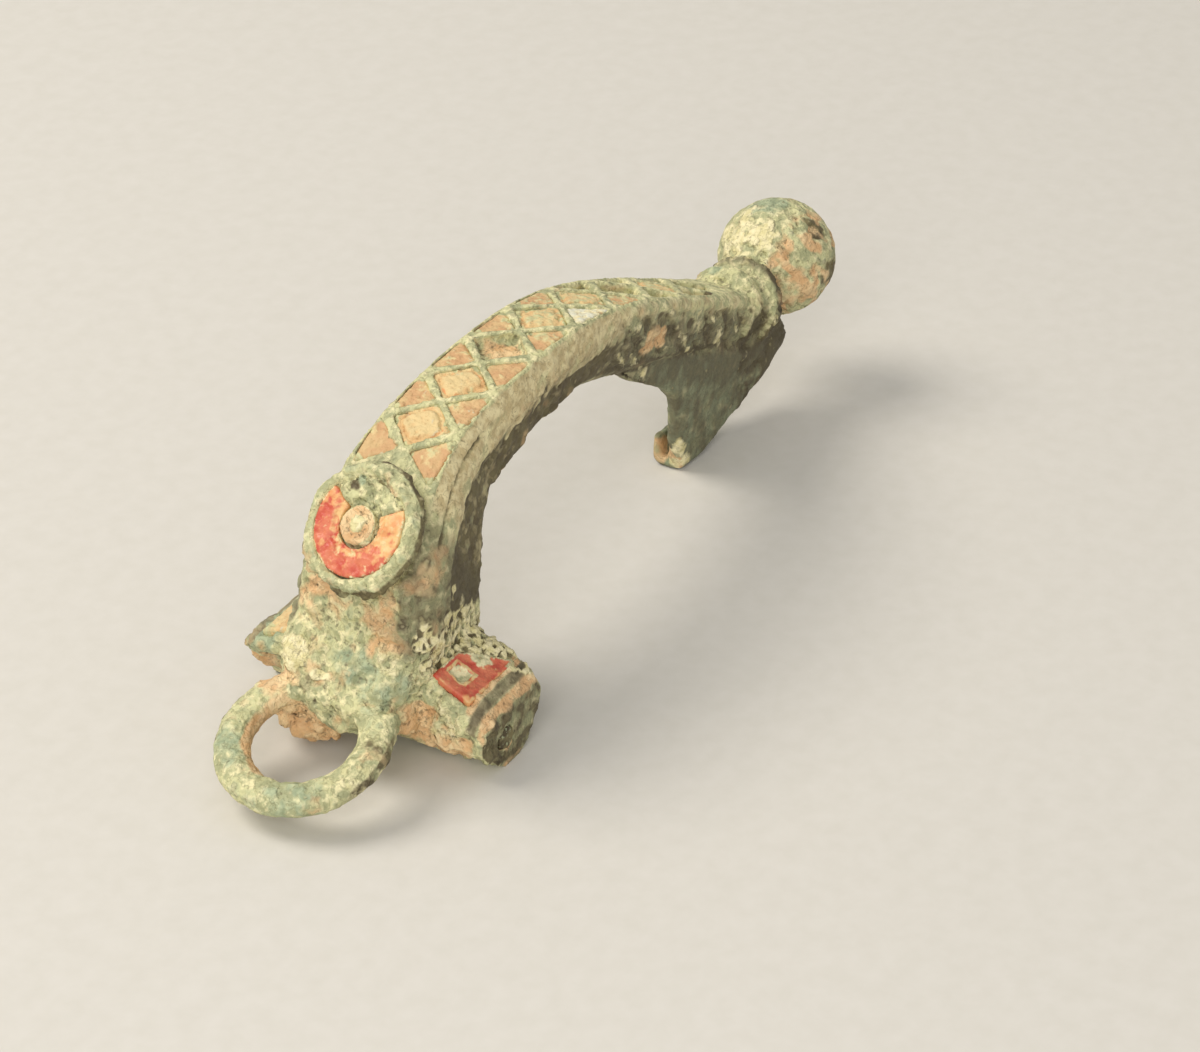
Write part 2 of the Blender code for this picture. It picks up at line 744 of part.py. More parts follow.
def make_hinge_bar(group, parent, finish):
    """The corroded bar that the lost pin turned on."""
    length = WING_HALF_SPAN + HINGE_END
    bm = bmesh.new()
    bmesh.ops.create_cone(
        bm, cap_ends=True, segments=20, radius1=HINGE_RADIUS, radius2=HINGE_RADIUS, depth=length
    )
    bmesh.ops.rotate(bm, verts=bm.verts, matrix=Matrix.Rotation(pi / 2, 3, "X"))
    bmesh.ops.translate(bm, verts=bm.verts, vec=(HINGE_X, 0.5 * length - WING_HALF_SPAN, HINGE_Z))
    add_mesh("hinge_bar", bm, group, parent, finish)


def origin_shift():
    """Distance from the wings' middle to the middle of the brooch's whole length."""
    bar = LOOP_BAR * hypot(cos(LOOP_TILT), LOOP_FLATTENING * sin(LOOP_TILT))
    front = LOOP_CENTRE[0] - LOOP_RADIUS * cos(LOOP_TILT) - bar
    back = knob_centre()[0] + KNOB_RADIUS
    return 0.5 * (front + back)


def main():
    for old in list(bpy.data.objects):
        bpy.data.objects.remove(old)
    pieces = collection("roman_bow_brooch")
    cast = collection("cast forms")
    cutters = collection("cutters")
    joined_cuts = collection("joined cutters")
    datum = bpy.data.objects.new("datum", None)
    pieces.objects.link(datum)
    datum.location = (-origin_shift(), 0, 0)

    bronze = material("patinated_bronze", (0.42, 0.42, 0.24), 0.7, 0.25)
    rust = material("corroded_bar", (0.09, 0.10, 0.07), 0.8, 0.3)
    enamels = {
        "red": material("red_enamel", (0.50, 0.075, 0.04), 0.4, 0.0),
        "cream": material("decayed_cream_enamel", (0.70, 0.52, 0.26), 0.65, 0.0),
        "peach": material("decayed_peach_enamel", (0.72, 0.40, 0.22), 0.65, 0.0),
    }

    make_wings(cast, datum)
    make_head_front(cast, datum)
    make_head_lump(cast, datum)
    make_loop(cast, datum)
    make_stud(cast, datum)
    make_collar_and_knob(cast, datum)
    make_catch_plate(cast, datum)
    make_hook(cast, datum)
    make_cell_cutters(cutters, datum)
    make_bore_cutter(cutters, datum)
    make_break_cutters(cutters, datum)
    cuts = make_slot_cutter(joined_cuts, datum)
    join_with(cuts, cutters)
    make_body(cast, cuts, pieces, datum, bronze)

    make_bow_fills(pieces, datum, enamels)
    make_wing_fills(pieces, datum, enamels)
    make_stud_fill(pieces, datum, enamels["red"])
    make_hinge_bar(pieces, datum, rust)


main()
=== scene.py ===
"""An enamelled bow brooch in cast copper alloy, as it came from the ground.

The casting has a pale green patina with blue-green blooms, sandy soil in its hollows and a lacy
crust on one wing. Red enamel is left on the stud and the wing, decayed enamel in the bow's cells.
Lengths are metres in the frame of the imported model, unless a name or comment says otherwise.
Places on the brooch are given in millimetres from under the middle of the wings: x towards the
foot, y towards the left wing, z up.
"""

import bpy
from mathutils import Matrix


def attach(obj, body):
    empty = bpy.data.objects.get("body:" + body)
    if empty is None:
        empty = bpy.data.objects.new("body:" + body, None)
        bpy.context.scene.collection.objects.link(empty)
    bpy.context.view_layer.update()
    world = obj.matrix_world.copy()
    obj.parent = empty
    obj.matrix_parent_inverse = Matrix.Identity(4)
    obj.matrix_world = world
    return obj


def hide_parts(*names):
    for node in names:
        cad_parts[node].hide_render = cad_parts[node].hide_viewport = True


bl_info = {
    "name": "Enamelled bow brooch",
    "version": (1, 0, 0),
    "blender": (4, 5, 0),
    "location": "3D View > Sidebar > Brooch",
    "description": "Finishes a patinated bow brooch with its enamel, and lights it",
    "category": "Object",
}

from math import cos, radians, sin
from types import SimpleNamespace

import bmesh
import bpy
import numpy as np
from bpy.props import FloatProperty, FloatVectorProperty, PointerProperty
from mathutils import Matrix, Vector, noise

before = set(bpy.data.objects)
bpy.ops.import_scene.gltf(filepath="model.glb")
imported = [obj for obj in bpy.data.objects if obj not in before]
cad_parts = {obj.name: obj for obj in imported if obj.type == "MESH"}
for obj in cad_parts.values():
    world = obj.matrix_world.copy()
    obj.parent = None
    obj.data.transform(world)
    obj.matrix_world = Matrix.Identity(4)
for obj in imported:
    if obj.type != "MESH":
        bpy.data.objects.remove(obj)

MM = 0.001

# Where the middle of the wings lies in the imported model
WINGS_X = -19.2865

# The top line of the bow from the head to the foot, x and z in millimetres
BOW_LINE = (
    (-3.7, 3.0),
    (-3.9, 6.0),
    (-3.8, 8.6),
    (-3.1, 11.4),
    (-1.3, 14.5),
    (1.0, 17.0),
    (4.0, 18.5),
    (7.4, 19.25),
    (11.2, 19.6),
    (16.0, 19.65),
    (20.8, 19.1),
    (26.3, 17.5),
    (30.7, 15.7),
    (35.3, 13.6),
    (39.4, 11.7),
    (42.2, 10.4),
)
BOW_LINE_POINTS = 181

# The stud's base, the way it faces, and the radii of its boss and recess in millimetres
STUD = (-1.85, -0.35, 14.55)
STUD_TILT = radians(51)
STUD_YAW = radians(8)
STUD_OUT = (-sin(STUD_TILT) * cos(STUD_YAW), sin(STUD_TILT) * sin(STUD_YAW), cos(STUD_TILT))
STUD_RIGHT = (-sin(STUD_YAW), -cos(STUD_YAW), 0.0)
BOSS, RECESS = 1.45, 3.15
# The part of the recess whose enamel is lost, as a middle and a half width in degrees
STUD_GAP = (92, 57)

# The loop's middle in x and z, and how it rises towards the head
LOOP = (-8.95, 3.5)
LOOP_TILT = radians(18.5)

KNOB = (48.8, 0.0, 9.7)
KNOB_RADIUS = 4.1

# How far out the wings' arrises and the outer ends of their cells are
WING_ARRIS = 8.64
CELL_END = 7.62

# The soil lump under the head, and how much narrower than a ball it is each way
SOIL_LUMP = (-5.0, 2.2, 2.3)
SOIL_LUMP_SQUEEZE = (1.2, 0.9, 1.6)

# How far enamel grows sideways to meet the walls of its cell
BOW_FILL_GROWS = 0.13
RED_FILL_GROWS = 0.09
# The triangle whose fill has turned white
WHITENED = "enamel_triangle_right_5"

# The height in millimetres that counts as a full ridge
RIDGE_HEIGHT = 0.06
# A loose island with fewer vertices than this is a speck
SPECK_VERTICES = 100

# The camera's right and up directions and its place, as solved for the photo
CAMERA_RIGHT = (0.51503807, -0.8571673, 0.0)
CAMERA_UP = (0.45422947, 0.2729286, 0.8480481)
CAMERA_PLACE = (-0.17457, -0.10831, 0.13175)
SENSOR_WIDTH = 36.0

# Marks on the casting: place, radius in millimetres and strength
MARKS = {
    "soil": (
        ((-1.22, 8.1, 2.1), 1.5, 0.9),
        ((-6.4, 3.6, 5.0), 1.4, 0.8),
        ((-6.4, 2.8, 3.2), 1.5, 1.1),
        ((-6.8, 0.8, 2.8), 1.2, 1.0),
        ((-5.4, 4.6, 4.2), 1.6, 0.8),
        ((-3.7, 2.2, 9.8), 1.8, 0.6),
        ((-3.6, -1.6, 9.8), 2.0, 0.5),
        ((-4.2, -2.3, 8.2), 1.0, 0.55),
        ((-4.2, -4.6, 3.6), 1.5, 0.75),
        ((-3.4, -5.3, 2.2), 2.2, 0.85),
        ((-3.2, -6.6, 1.5), 1.8, 0.7),
        ((-9.0, -4.3, 3.4), 1.3, 0.45),
        ((-0.9, -4.1, 13.0), 1.4, 0.5),
        ((13.2, 0.0, 18.5), 1.5, 1.1),
        ((27.2, 0.0, 16.3), 1.3, 0.6),
        ((36.3, 0.0, 12.4), 1.3, 0.6),
        ((27.2, -2.5, 13.9), 1.05, 1.8),
        ((28.7, -2.5, 13.4), 0.9, 1.7),
        ((45.6, -2.6, 9.0), 1.7, 0.7),
        ((34.1, 0.9, 1.3), 1.2, 0.9),
        ((34.0, -0.8, 0.7), 0.7, 0.8),
        ((2.9, 5.5, 4.2), 2.0, 0.8),
        ((-2.4, 6.6, 4.3), 1.0, 0.5),
        ((-10.9, 2.9, 3.2), 0.7, 0.6),
    ),
    "pale": (
        ((-5.2, 3.1, 6.6), 1.15, 1.7),
        ((-5.75, 1.1, 6.0), 0.4, 1.3),
        ((-5.75, 0.6, 6.1), 0.3, 1.2),
        ((-4.5, -3.2, 7.6), 0.9, 0.7),
        ((-3.5, -6.2, 3.6), 1.4, 0.65),
        ((45.9, 1.2, 12.4), 2.8, 0.5),
        ((46.0, -0.6, 12.9), 1.0, 0.8),
        ((33.8, -0.9, 2.0), 0.7, 1.0),
        ((34.6, -0.6, 0.9), 0.8, 0.8),
        ((1.1, -4.1, 10.1), 0.32, 1.2),
        ((-10.5, -4.6, 3.6), 1.8, 0.35),
    ),
    "bloom": (
        ((-1.9, 7.6, 5.0), 2.2, 0.8),
        ((-5.0, -1.3, 7.0), 1.6, 0.6),
        ((-6.2, -3.2, 5.4), 1.2, 0.45),
        ((-4.8, -4.4, 6.3), 1.2, 0.6),
        ((-11.8, 3.4, 3.6), 1.8, 0.5),
        ((-0.55, 0.55, 17.1), 0.5, 1.4),
        ((-12.7, -1.6, 2.6), 2.2, 0.45),
        ((48.6, 0.8, 13.7), 1.6, 0.75),
        ((42.0, 1.5, 12.2), 1.4, 0.6),
        ((33.2, -2.3, 11.3), 0.6, 1.1),
    ),
    "dark": (
        ((-0.4, -0.8, 17.6), 0.6, 0.9),
        ((-1.1, 1.1, 16.9), 0.4, 0.8),
        ((-6.1, 1.2, 5.4), 1.2, 0.5),
        ((49.0, -2.9, 12.6), 1.0, 1.0),
        ((49.6, -3.5, 9.0), 1.9, 0.75),
        ((45.9, -2.1, 11.9), 0.5, 1.0),
        ((26.3, -2.8, 15.6), 0.45, 1.3),
        ((34.0, 0.3, 2.0), 0.8, 1.2),
        ((36.0, -1.8, 13.1), 0.4, 1.2),
        ((-8.6, -4.4, 4.4), 0.9, 0.5),
        ((-6.2, 0.4, 2.6), 0.7, 1.2),
        ((-11.3, 2.4, 3.0), 0.6, 0.9),
    ),
}
# The pale lump on the head's left
HEAD_LUMP = ((-5.2, 3.1, 6.6), 1.1, 1.0)
# Flaking crust on the right wing and at the foot of the neck
LACE_MARKS = (
    ((0.6, -4.7, 6.9), 2.2, 1.1),
    ((2.2, -5.6, 6.4), 2.4, 1.1),
    ((2.8, -7.0, 5.4), 1.6, 1.1),
    ((-1.6, -4.7, 7.0), 1.7, 1.0),
    ((-2.6, -4.4, 8.6), 0.9, 0.9),
)
# The light pit in the wing's red enamel, and where the crust dips into it
WING_PIT = (-1.05, -5.95)
CRUST_DIP = (0.75, -6.15)

# Nodes that the materials are made of
NOISE = "ShaderNodeTexNoise"
RANGE = "ShaderNodeMapRange"
MATH = "ShaderNodeMath"
MIX = "ShaderNodeMix"
BUMP = "ShaderNodeBump"
ATTRIBUTE = "ShaderNodeAttribute"
# Where a Mix node has its share, its two colours and the mixed one
SHARE, FIRST, SECOND, MIXED = 0, 6, 7, 2
# How ragged a patch is, and the sums of pattern and attribute where it starts and where it covers
PATCH_RAGGED, PATCH_STARTS, PATCH_COVERS = 2.2, 1.45, 1.93


def linear(code):
    """An sRGB hex colour as linear RGB."""
    channels = [int(code[i : i + 2], 16) / 255 for i in (1, 3, 5)]
    return [c / 12.92 if c <= 0.04045 else ((c + 0.055) / 1.055) ** 2.4 for c in channels]


def add_node(tree, kind, inputs, output=0, **settings):
    """Add a node with its settings and inputs, and give one of its outputs.

    An input that is another node's output becomes a link, and a colour gets its alpha.
    """
    node = tree.nodes.new(kind)
    for name, value in settings.items():
        setattr(node, name, value)
    for name, value in inputs.items():
        if isinstance(value, bpy.types.NodeSocket):
            tree.links.new(value, node.inputs[name])
        elif node.inputs[name].type == "RGBA":
            node.inputs[name].default_value = (*value, 1.0)
        else:
            node.inputs[name].default_value = value
    return node.outputs[output]


def start_finish(name, roughness, grain_mm):
    """A Principled material, and noise patterns whose lumps have the given sizes."""
    material = bpy.data.materials.new(name)
    material.use_nodes = True
    tree = material.node_tree
    shader = tree.nodes["Principled BSDF"]
    shader.inputs["Roughness"].default_value = roughness
    place = add_node(tree, "ShaderNodeTexCoord", {}, "Object")
    patterns = []
    for count, size in enumerate(grain_mm):
        shift = (0.011 * count, -0.007 * count, 0.005 * count)
        moved = add_node(tree, "ShaderNodeMapping", {"Vector": place, "Location": shift})
        grain = {"Vector": moved, "Scale": 1 / (size * MM), "Detail": 2.6, "Roughness": 0.55}
        patterns.append(add_node(tree, NOISE, grain, "Fac"))
    return material, tree, shader, patterns


def mottle(tree, pattern, low, high, first, second, most=1.0):
    """Go from one colour to another where a pattern rises from low to high."""
    rise = {"Value": pattern, "From Min": low, "From Max": high, "To Max": most}
    mixed = {SHARE: add_node(tree, RANGE, rise), FIRST: first, SECOND: second}
    return add_node(tree, MIX, mixed, MIXED, data_type="RGBA")


def lay_over(tree, colour, layers):
    """Lay patches over a colour, each as broad as its attribute is strong, with ragged edges.

    A layer is an attribute, the pattern that breaks its edge, the pattern that varies its tone
    and two tones. The last layer's mask comes back too.
    """
    mask = None
    for name, edge, tone, deep, light in layers:
        weight = add_node(tree, ATTRIBUTE, {}, "Fac", attribute_name=name)
        terms = {0: edge, 1: PATCH_RAGGED, 2: weight}
        ragged = add_node(tree, MATH, terms, operation="MULTIPLY_ADD")
        rise = {"Value": ragged, "From Min": PATCH_STARTS, "From Max": PATCH_COVERS}
        mask = add_node(tree, RANGE, rise)
        mixed = {SHARE: mask, FIRST: colour, SECOND: mottle(tree, tone, 0.40, 0.60, deep, light)}
        colour = add_node(tree, MIX, mixed, MIXED, data_type="RGBA")
    return colour, mask


def plug_in(tree, shader, sources):
    """Link what a finish has worked out to the shader's sockets."""
    for socket, source in sources.items():
        tree.links.new(source, shader.inputs[socket])


def patinated_bronze(look):
    """Cast leaded bronze under a stable patina: dull and matt, with no bare metal showing.

    To the eye it is a mosaic of pale sage crusts with crisp, wandering edges. Blue-green blooms,
    sandy soil and a smoother brown-grey skin lie between them, and pin-holes are dark. The dark
    and brown-grey tones are also laid on as painted shade on faces turned down, on the wings'
    ends, at the stud's rim, round the knob and inside the loop.
    """
    material, tree, shader, (middle, crumb, small, grain) = start_finish(
        "patinated cast bronze", 0.68, (1.4, 0.95, 0.58, 0.28)
    )
    colour = mottle(tree, crumb, 0.40, 0.54, look.patina_deep, look.patina)
    colour = mottle(tree, small, 0.50, 0.64, colour, look.patina_pale)
    # The dark patches are dark skin in some places and painted shade in others
    layers = (
        ("bloom", crumb, small, look.bloom_deep, look.bloom),
        ("tan", middle, small, look.side_deep, look.side),
        ("dark", crumb, middle, look.dark_deep, look.dark),
        ("soil", middle, crumb, look.soil_deep, look.soil),
    )
    colour, _ = lay_over(tree, colour, layers)

    # Smooth dark skin and painted shade come and go softly, and pale crust lies on top of all
    shade = add_node(tree, ATTRIBUTE, {}, "Fac", attribute_name="shade")
    shade = add_node(tree, MATH, {0: middle, 1: 0.9, 2: shade}, operation="MULTIPLY_ADD")
    colour = mottle(tree, shade, 0.45, 1.45, colour, look.shade, 0.85)
    pale = ("pale", crumb, small, look.crust_deep, look.crust)
    colour, crust = lay_over(tree, colour, (pale,))

    # Wandering seams between crusts, and pin-holes in the hollows
    seam = add_node(tree, MATH, {0: crumb, 1: 0.5, 2: 0.012}, operation="COMPARE")
    colour = mottle(tree, seam, 0.0, 1.0, colour, look.grime, 0.28)
    ridge = add_node(tree, ATTRIBUTE, {}, "Fac", attribute_name="ridge")
    hollow = add_node(tree, MATH, {0: ridge, 1: -0.13, 2: grain}, operation="MULTIPLY_ADD")
    colour = mottle(tree, hollow, 0.60, 0.76, colour, look.grime, 0.6)

    rise = {"Value": small, "From Min": 0.3, "From Max": 0.7, "To Min": 0.55, "To Max": 0.8}
    rough = add_node(tree, RANGE, rise)
    calm = add_node(tree, ATTRIBUTE, {}, "Fac", attribute_name="calm")
    strength = add_node(tree, RANGE, {"Value": calm, "To Min": 1.0, "To Max": 0.3})
    normal = add_node(tree, BUMP, {"Height": crumb, "Distance": 0.45 * MM, "Strength": strength})
    crusty = add_node(tree, MATH, {0: crust, 1: 0.3, 2: small}, operation="MULTIPLY_ADD")
    bump = {"Height": crusty, "Distance": 0.25 * MM, "Strength": strength, "Normal": normal}
    normal = add_node(tree, BUMP, bump)
    bump = {"Height": grain, "Distance": 0.06 * MM, "Strength": 0.8, "Normal": normal}
    normal = add_node(tree, BUMP, bump)
    plug_in(tree, shader, {"Base Color": colour, "Roughness": rough, "Normal": normal})
    return material


def red_enamel(look):
    """Fired glass, opaque red, buried and worn dull: pitted, and yellowed where it decays."""
    material, tree, shader, (middle, small, grain) = start_finish(
        "worn red enamel", 0.45, (1.0, 0.5, 0.22)
    )
    shader.inputs["IOR"].default_value = 1.52
    colour = mottle(tree, middle, 0.42, 0.58, look.red_deep, look.red)
    layers = (
        ("decay", small, middle, look.decay_deep, look.decay),
        ("cream", small, small, look.decay, look.cream),
        ("crust", small, small, look.patina_deep, look.crust),
    )
    colour, _ = lay_over(tree, colour, layers)
    colour = mottle(tree, grain, 0.60, 0.70, colour, look.decay_deep, 0.55)
    rise = {"Value": small, "From Min": 0.3, "From Max": 0.7, "To Min": 0.35, "To Max": 0.62}
    rough = add_node(tree, RANGE, rise)
    normal = add_node(tree, BUMP, {"Height": small, "Distance": 0.16 * MM, "Strength": 0.8})
    bump = {"Height": grain, "Distance": 0.05 * MM, "Strength": 0.7, "Normal": normal}
    normal = add_node(tree, BUMP, bump)
    plug_in(tree, shader, {"Base Color": colour, "Roughness": rough, "Normal": normal})
    return material


def decayed_enamel(look, name, deep, light):
    """Fired glass gone to a matt, sandy crust: cream in the middle, flesh-coloured round it.

    An ochre line runs round the raised middle, and the metal's green has crept over the edges.
    """
    material, tree, shader, (middle, small, grain) = start_finish(name, 0.7, (1.1, 0.55, 0.22))
    colour = mottle(tree, middle, 0.40, 0.60, deep, light)
    layers = (
        ("cream", small, small, light, look.cream),
        ("line", small, middle, look.ochre, look.decay_deep),
        ("edge", small, small, look.patina_deep, look.patina),
        ("white", small, small, look.crust, look.white),
    )
    colour, _ = lay_over(tree, colour, layers)
    colour = mottle(tree, grain, 0.60, 0.70, colour, look.ochre, 0.5)
    normal = add_node(tree, BUMP, {"Height": small, "Distance": 0.22 * MM, "Strength": 0.9})
    bump = {"Height": grain, "Distance": 0.06 * MM, "Strength": 0.8, "Normal": normal}
    normal = add_node(tree, BUMP, bump)
    plug_in(tree, shader, {"Base Color": colour, "Normal": normal})
    return material


def corroded_bar(look):
    """Corroded copper-alloy bar, seen at its end: dark, rough mottling with a few green grains."""
    material, tree, shader, (middle, grain) = start_finish("corroded hinge bar", 0.65, (0.6, 0.25))
    colour = mottle(tree, middle, 0.42, 0.58, look.grime, look.dark)
    colour = mottle(tree, grain, 0.56, 0.64, colour, look.bloom, 0.7)
    normal = add_node(tree, BUMP, {"Height": grain, "Distance": 0.12 * MM, "Strength": 0.9})
    plug_in(tree, shader, {"Base Color": colour, "Normal": normal})
    return material


def matt_board(look):
    """Smooth matt board: an even pale ground whose faint tooth only softens the sheen."""
    material, tree, shader, (tooth,) = start_finish("matt pale board", 0.85, (1.5,))
    colour = mottle(tree, tooth, 0.3, 0.7, look.board_deep, look.board)
    plug_in(tree, shader, {"Base Color": colour})
    return material


def points_of(mesh):
    """A mesh's vertices as an array."""
    values = np.empty(3 * len(mesh.vertices))
    mesh.vertices.foreach_get("co", values)
    return values.reshape(-1, 3)


def normals_of(mesh):
    """A mesh's vertex normals as an array."""
    values = np.empty(3 * len(mesh.vertices))
    mesh.vertex_normals.foreach_get("vector", values)
    return values.reshape(-1, 3)


def raise_by(mesh, points, normals, lift_mm):
    """Move vertices along their normals, and keep them above the floor."""
    moved = points + normals * (lift_mm * MM)[:, None]
    moved[:, 2] = np.maximum(moved[:, 2], 0.0)
    mesh.vertices.foreach_set("co", moved.ravel())
    mesh.update()
    return moved


def store(mesh, **fields):
    """Keep numbers on the vertices for the material to read."""
    for name, values in fields.items():
        made = mesh.attributes.new(name, "FLOAT", "POINT")
        made.data.foreach_set("value", np.clip(values, -1, 1.5).astype(np.float32))


def smoothed(mesh, values, rounds):
    """Even out values over the surface by averaging each vertex with its neighbours."""
    pairs = np.empty(2 * len(mesh.edges), np.int32)
    mesh.edges.foreach_get("vertices", pairs)
    count = len(mesh.vertices)
    first, second = pairs.reshape(-1, 2).T
    share = np.maximum(np.bincount(pairs, minlength=count), 1)
    for _ in range(rounds):
        columns = []
        for column in values.T:
            total = np.bincount(first, column[second], count)
            total += np.bincount(second, column[first], count)
            columns.append(total / share)
        values = np.stack(columns, 1)
    return values


def lumps(at, size, seed, octaves=3):
    """Smooth noise of about -1 to 1 over points in millimetres, with lumps of the given size."""
    shift = np.array([13.1, -7.7, 4.3]) * (seed + 1)
    return np.array([noise.fractal(Vector(p), 0.9, 2.0, octaves) for p in at / size + shift])


def step(low, high, values):
    """Smooth step from 0 at low to 1 at high, which may be the lower of the two."""
    share = np.clip((values - low) / (high - low), 0, 1)
    return share * share * (3 - 2 * share)


def marked(at, marks, wobble):
    """How strongly marks cover points: soft balls with wavering edges."""
    total = np.zeros(len(at))
    for middle, radius, strength in marks:
        distance = np.linalg.norm(at - np.array(middle), axis=1) / radius
        total += strength * step(1.3, 0.5, distance + 0.35 * wobble)
    return total


def from_wings(points):
    """Points in millimetres from under the middle of the wings."""
    return points / MM - np.array([WINGS_X, 0.0, 0.0])


def along_bow(at):
    """Distance along the bow's top line and depth below it, in millimetres."""
    rows = np.array(BOW_LINE)
    padded = np.vstack((2 * rows[0] - rows[1], rows, 2 * rows[-1] - rows[-2]))
    places = np.linspace(0, len(rows) - 1, BOW_LINE_POINTS)

    # A smooth curve through the rows, drawn as short straight lines
    index = np.minimum(places.astype(int), len(rows) - 2)
    a, b, c, d = (padded[index + k] for k in range(4))
    t = (places - index)[:, None]
    line = 2 * b + (c - a) * t
    line += (2 * a - 5 * b + 4 * c - d) * t**2 + (3 * b - a - 3 * c + d) * t**3
    line *= 0.5

    # The nearest place on the line, one straight at a time
    lengths = np.concatenate(([0], np.cumsum(np.hypot(*np.diff(line, axis=0).T))))
    distance = np.full(len(at), 1e9)
    along = np.zeros(len(at))
    flat = at[:, (0, 2)]
    for start, end, length in zip(line[:-1], line[1:], lengths):
        way = end - start
        share = np.clip((flat - start) @ way / (way @ way), 0, 1)
        here = np.linalg.norm(flat - start - share[:, None] * way, axis=1)
        closer = here < distance
        distance[closer] = here[closer]
        along[closer] = length + share[closer] * np.linalg.norm(way)
    return along, distance


def on_stud(at):
    """Radius, angle in degrees and height above the stud's base, for points in millimetres."""
    moved = at - np.array(STUD)
    across, rise = moved @ STUD_RIGHT, moved @ np.cross(STUD_OUT, STUD_RIGHT)
    return np.hypot(across, rise), np.degrees(np.arctan2(rise, across)) % 360, moved @ STUD_OUT


def away_from(angle, middle):
    """How far angles are from a middle, in degrees."""
    return np.abs((angle - middle + 180) % 360 - 180)


def drop_specks(mesh):
    """Delete the loose specks that a net leaves in narrow gaps."""
    bm = bmesh.new()
    bm.from_mesh(mesh)
    left = set(bm.verts)
    while left:
        island = [left.pop()]
        for vertex in island:
            for edge in vertex.link_edges:
                other = edge.other_vert(vertex)
                if other in left:
                    left.remove(other)
                    island.append(other)
        if len(island) < SPECK_VERTICES:
            bmesh.ops.delete(bm, geom=island, context="VERTS")
    bm.to_mesh(mesh)
    bm.free()


def even_skin(name, node, net):
    """A merged copy of a CAD node under an even net of small faces, which can be worked."""
    bm = bmesh.new()
    bm.from_mesh(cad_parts[node].data)
    bmesh.ops.remove_doubles(bm, verts=bm.verts, dist=0.001 * MM)
    mesh = bpy.data.meshes.new("merged")
    bm.to_mesh(mesh)
    bm.free()
    holder = bpy.data.objects.new("merged", mesh)
    bpy.context.scene.collection.objects.link(holder)
    modifier = holder.modifiers.new("Net", "REMESH")
    modifier.mode = "VOXEL"
    modifier.voxel_size = net
    netted = holder.evaluated_get(bpy.context.evaluated_depsgraph_get())
    worked = bpy.data.meshes.new_from_object(netted)
    worked.name = name
    drop_specks(worked)
    bpy.data.objects.remove(holder)
    bpy.data.meshes.remove(mesh)
    return worked


def finish_piece(name, mesh, finish, node):
    """Make a worked mesh into a piece that stands for its CAD node."""
    piece = bpy.data.objects.new(name, mesh)
    bpy.context.scene.collection.objects.link(piece)
    mesh.materials.clear()
    mesh.materials.append(finish)
    mesh.polygons.foreach_set("use_smooth", [True] * len(mesh.polygons))
    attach(piece, "root")
    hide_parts(node)


def survey(mesh):
    """What the casting's relief and colours are worked from: places, noises and forms.

    Lengths are in millimetres. A form is 1 where a vertex belongs to it, and 0 elsewhere.
    """
    points, normals = points_of(mesh), normals_of(mesh)
    at = from_wings(points)
    x, y, z = at.T
    wall, up = np.abs(normals[:, 1]), normals[:, 2]
    along, depth = along_bow(at)
    radius, angle, height = on_stud(at)
    broad, middle, small = lumps(at, 2.4, 1), lumps(at, 0.95, 2), lumps(at, 0.5, 3, 2)
    slanted = np.stack((x + 0.5 * z, y, 0.45 * z), 1)

    from_knob = np.linalg.norm(at - np.array(KNOB), axis=1)
    knob = step(KNOB_RADIUS + 0.5, KNOB_RADIUS + 0.2, from_knob)
    stud = step(4.5, 4.25, radius) * step(-0.3, 0.0, height) * step(2.6, 2.2, height)
    below_bow = depth - 3.9 + 0.03 * (x - 30)
    plate = step(27.5, 30.0, x) * step(0.3, 0.9, below_bow) * (1 - knob)
    wing = step(4.6, 5.0, np.abs(y)) * step(4.5, 4.0, x)
    loop = step(-6.4, -7.2, x)
    head = step(1.0, -1.5, x) * step(13.5, 12.0, z) * (1 - loop)
    side = step(0.6, 0.85, wall) * step(5.2, 6.4, along) * step(-4.2, -3.2, x)
    for other in (stud, wing, knob, plate, loop):
        side *= 1 - other

    # The neck's dark skin covers its sides, and comes round its corner on the right
    near_head = step(15.5, 12.5, along + 0.5 * depth)
    neck = side * near_head * step(0.5, 1.2, depth + 0.3 * middle)
    corner = step(3.6, 4.1, np.maximum(y, 0.8 - y) + 0.2 * middle) * step(7.4, 8.2, z)
    neck = np.maximum(neck, near_head * corner * (1 - stud) * (1 - wing))

    return SimpleNamespace(
        points=points,
        normals=normals,
        at=at,
        x=x,
        y=y,
        z=z,
        wall=wall,
        up=up,
        along=along,
        depth=depth,
        radius=radius,
        angle=angle,
        height=height,
        broad=broad,
        middle=middle,
        small=small,
        slanted=slanted,
        knob=knob,
        stud=stud,
        plate=plate,
        wing=wing,
        loop=loop,
        head=head,
        side=side,
        neck=neck,
        foot=side * step(36.0, 41.0, along),
    )


# Each of the next functions works one form of the casting. It gives the relief in millimetres as
# "lift", and what it adds to each colour field.


def crust(cast):
    """Lumpy crust all over, thickest on the head, with soil and blooms between the lumps."""
    broad, middle, head, loop = cast.broad, cast.middle, cast.head, cast.loop
    rugged = 0.25 + head + 0.35 * loop + 0.3 * cast.knob + 0.55 * cast.stud + 0.3 * cast.wing
    rugged = np.clip(rugged, 0, 1) * (1 - 0.6 * np.clip(cast.side + cast.plate, 0, 1))
    lift = 0.05 * broad + 0.09 * broad * head - 0.08 * loop
    lift += rugged * ((0.08 + 0.08 * head) * middle + 0.07 * cast.small)
    lift += 0.14 * rugged * head * step(0.0, 0.3, middle + 0.4 * broad)
    lift += 0.2 * marked(cast.at, (HEAD_LUMP,), middle)
    return {
        "lift": lift,
        "soil": 0.42 * step(-0.1, 0.5, broad) * np.clip(head + 0.5 * loop, 0, 1),
        "bloom": 0.25 * step(0.2, -0.3, broad) * head + 0.2 * np.clip(loop + cast.knob, 0, 1),
    }


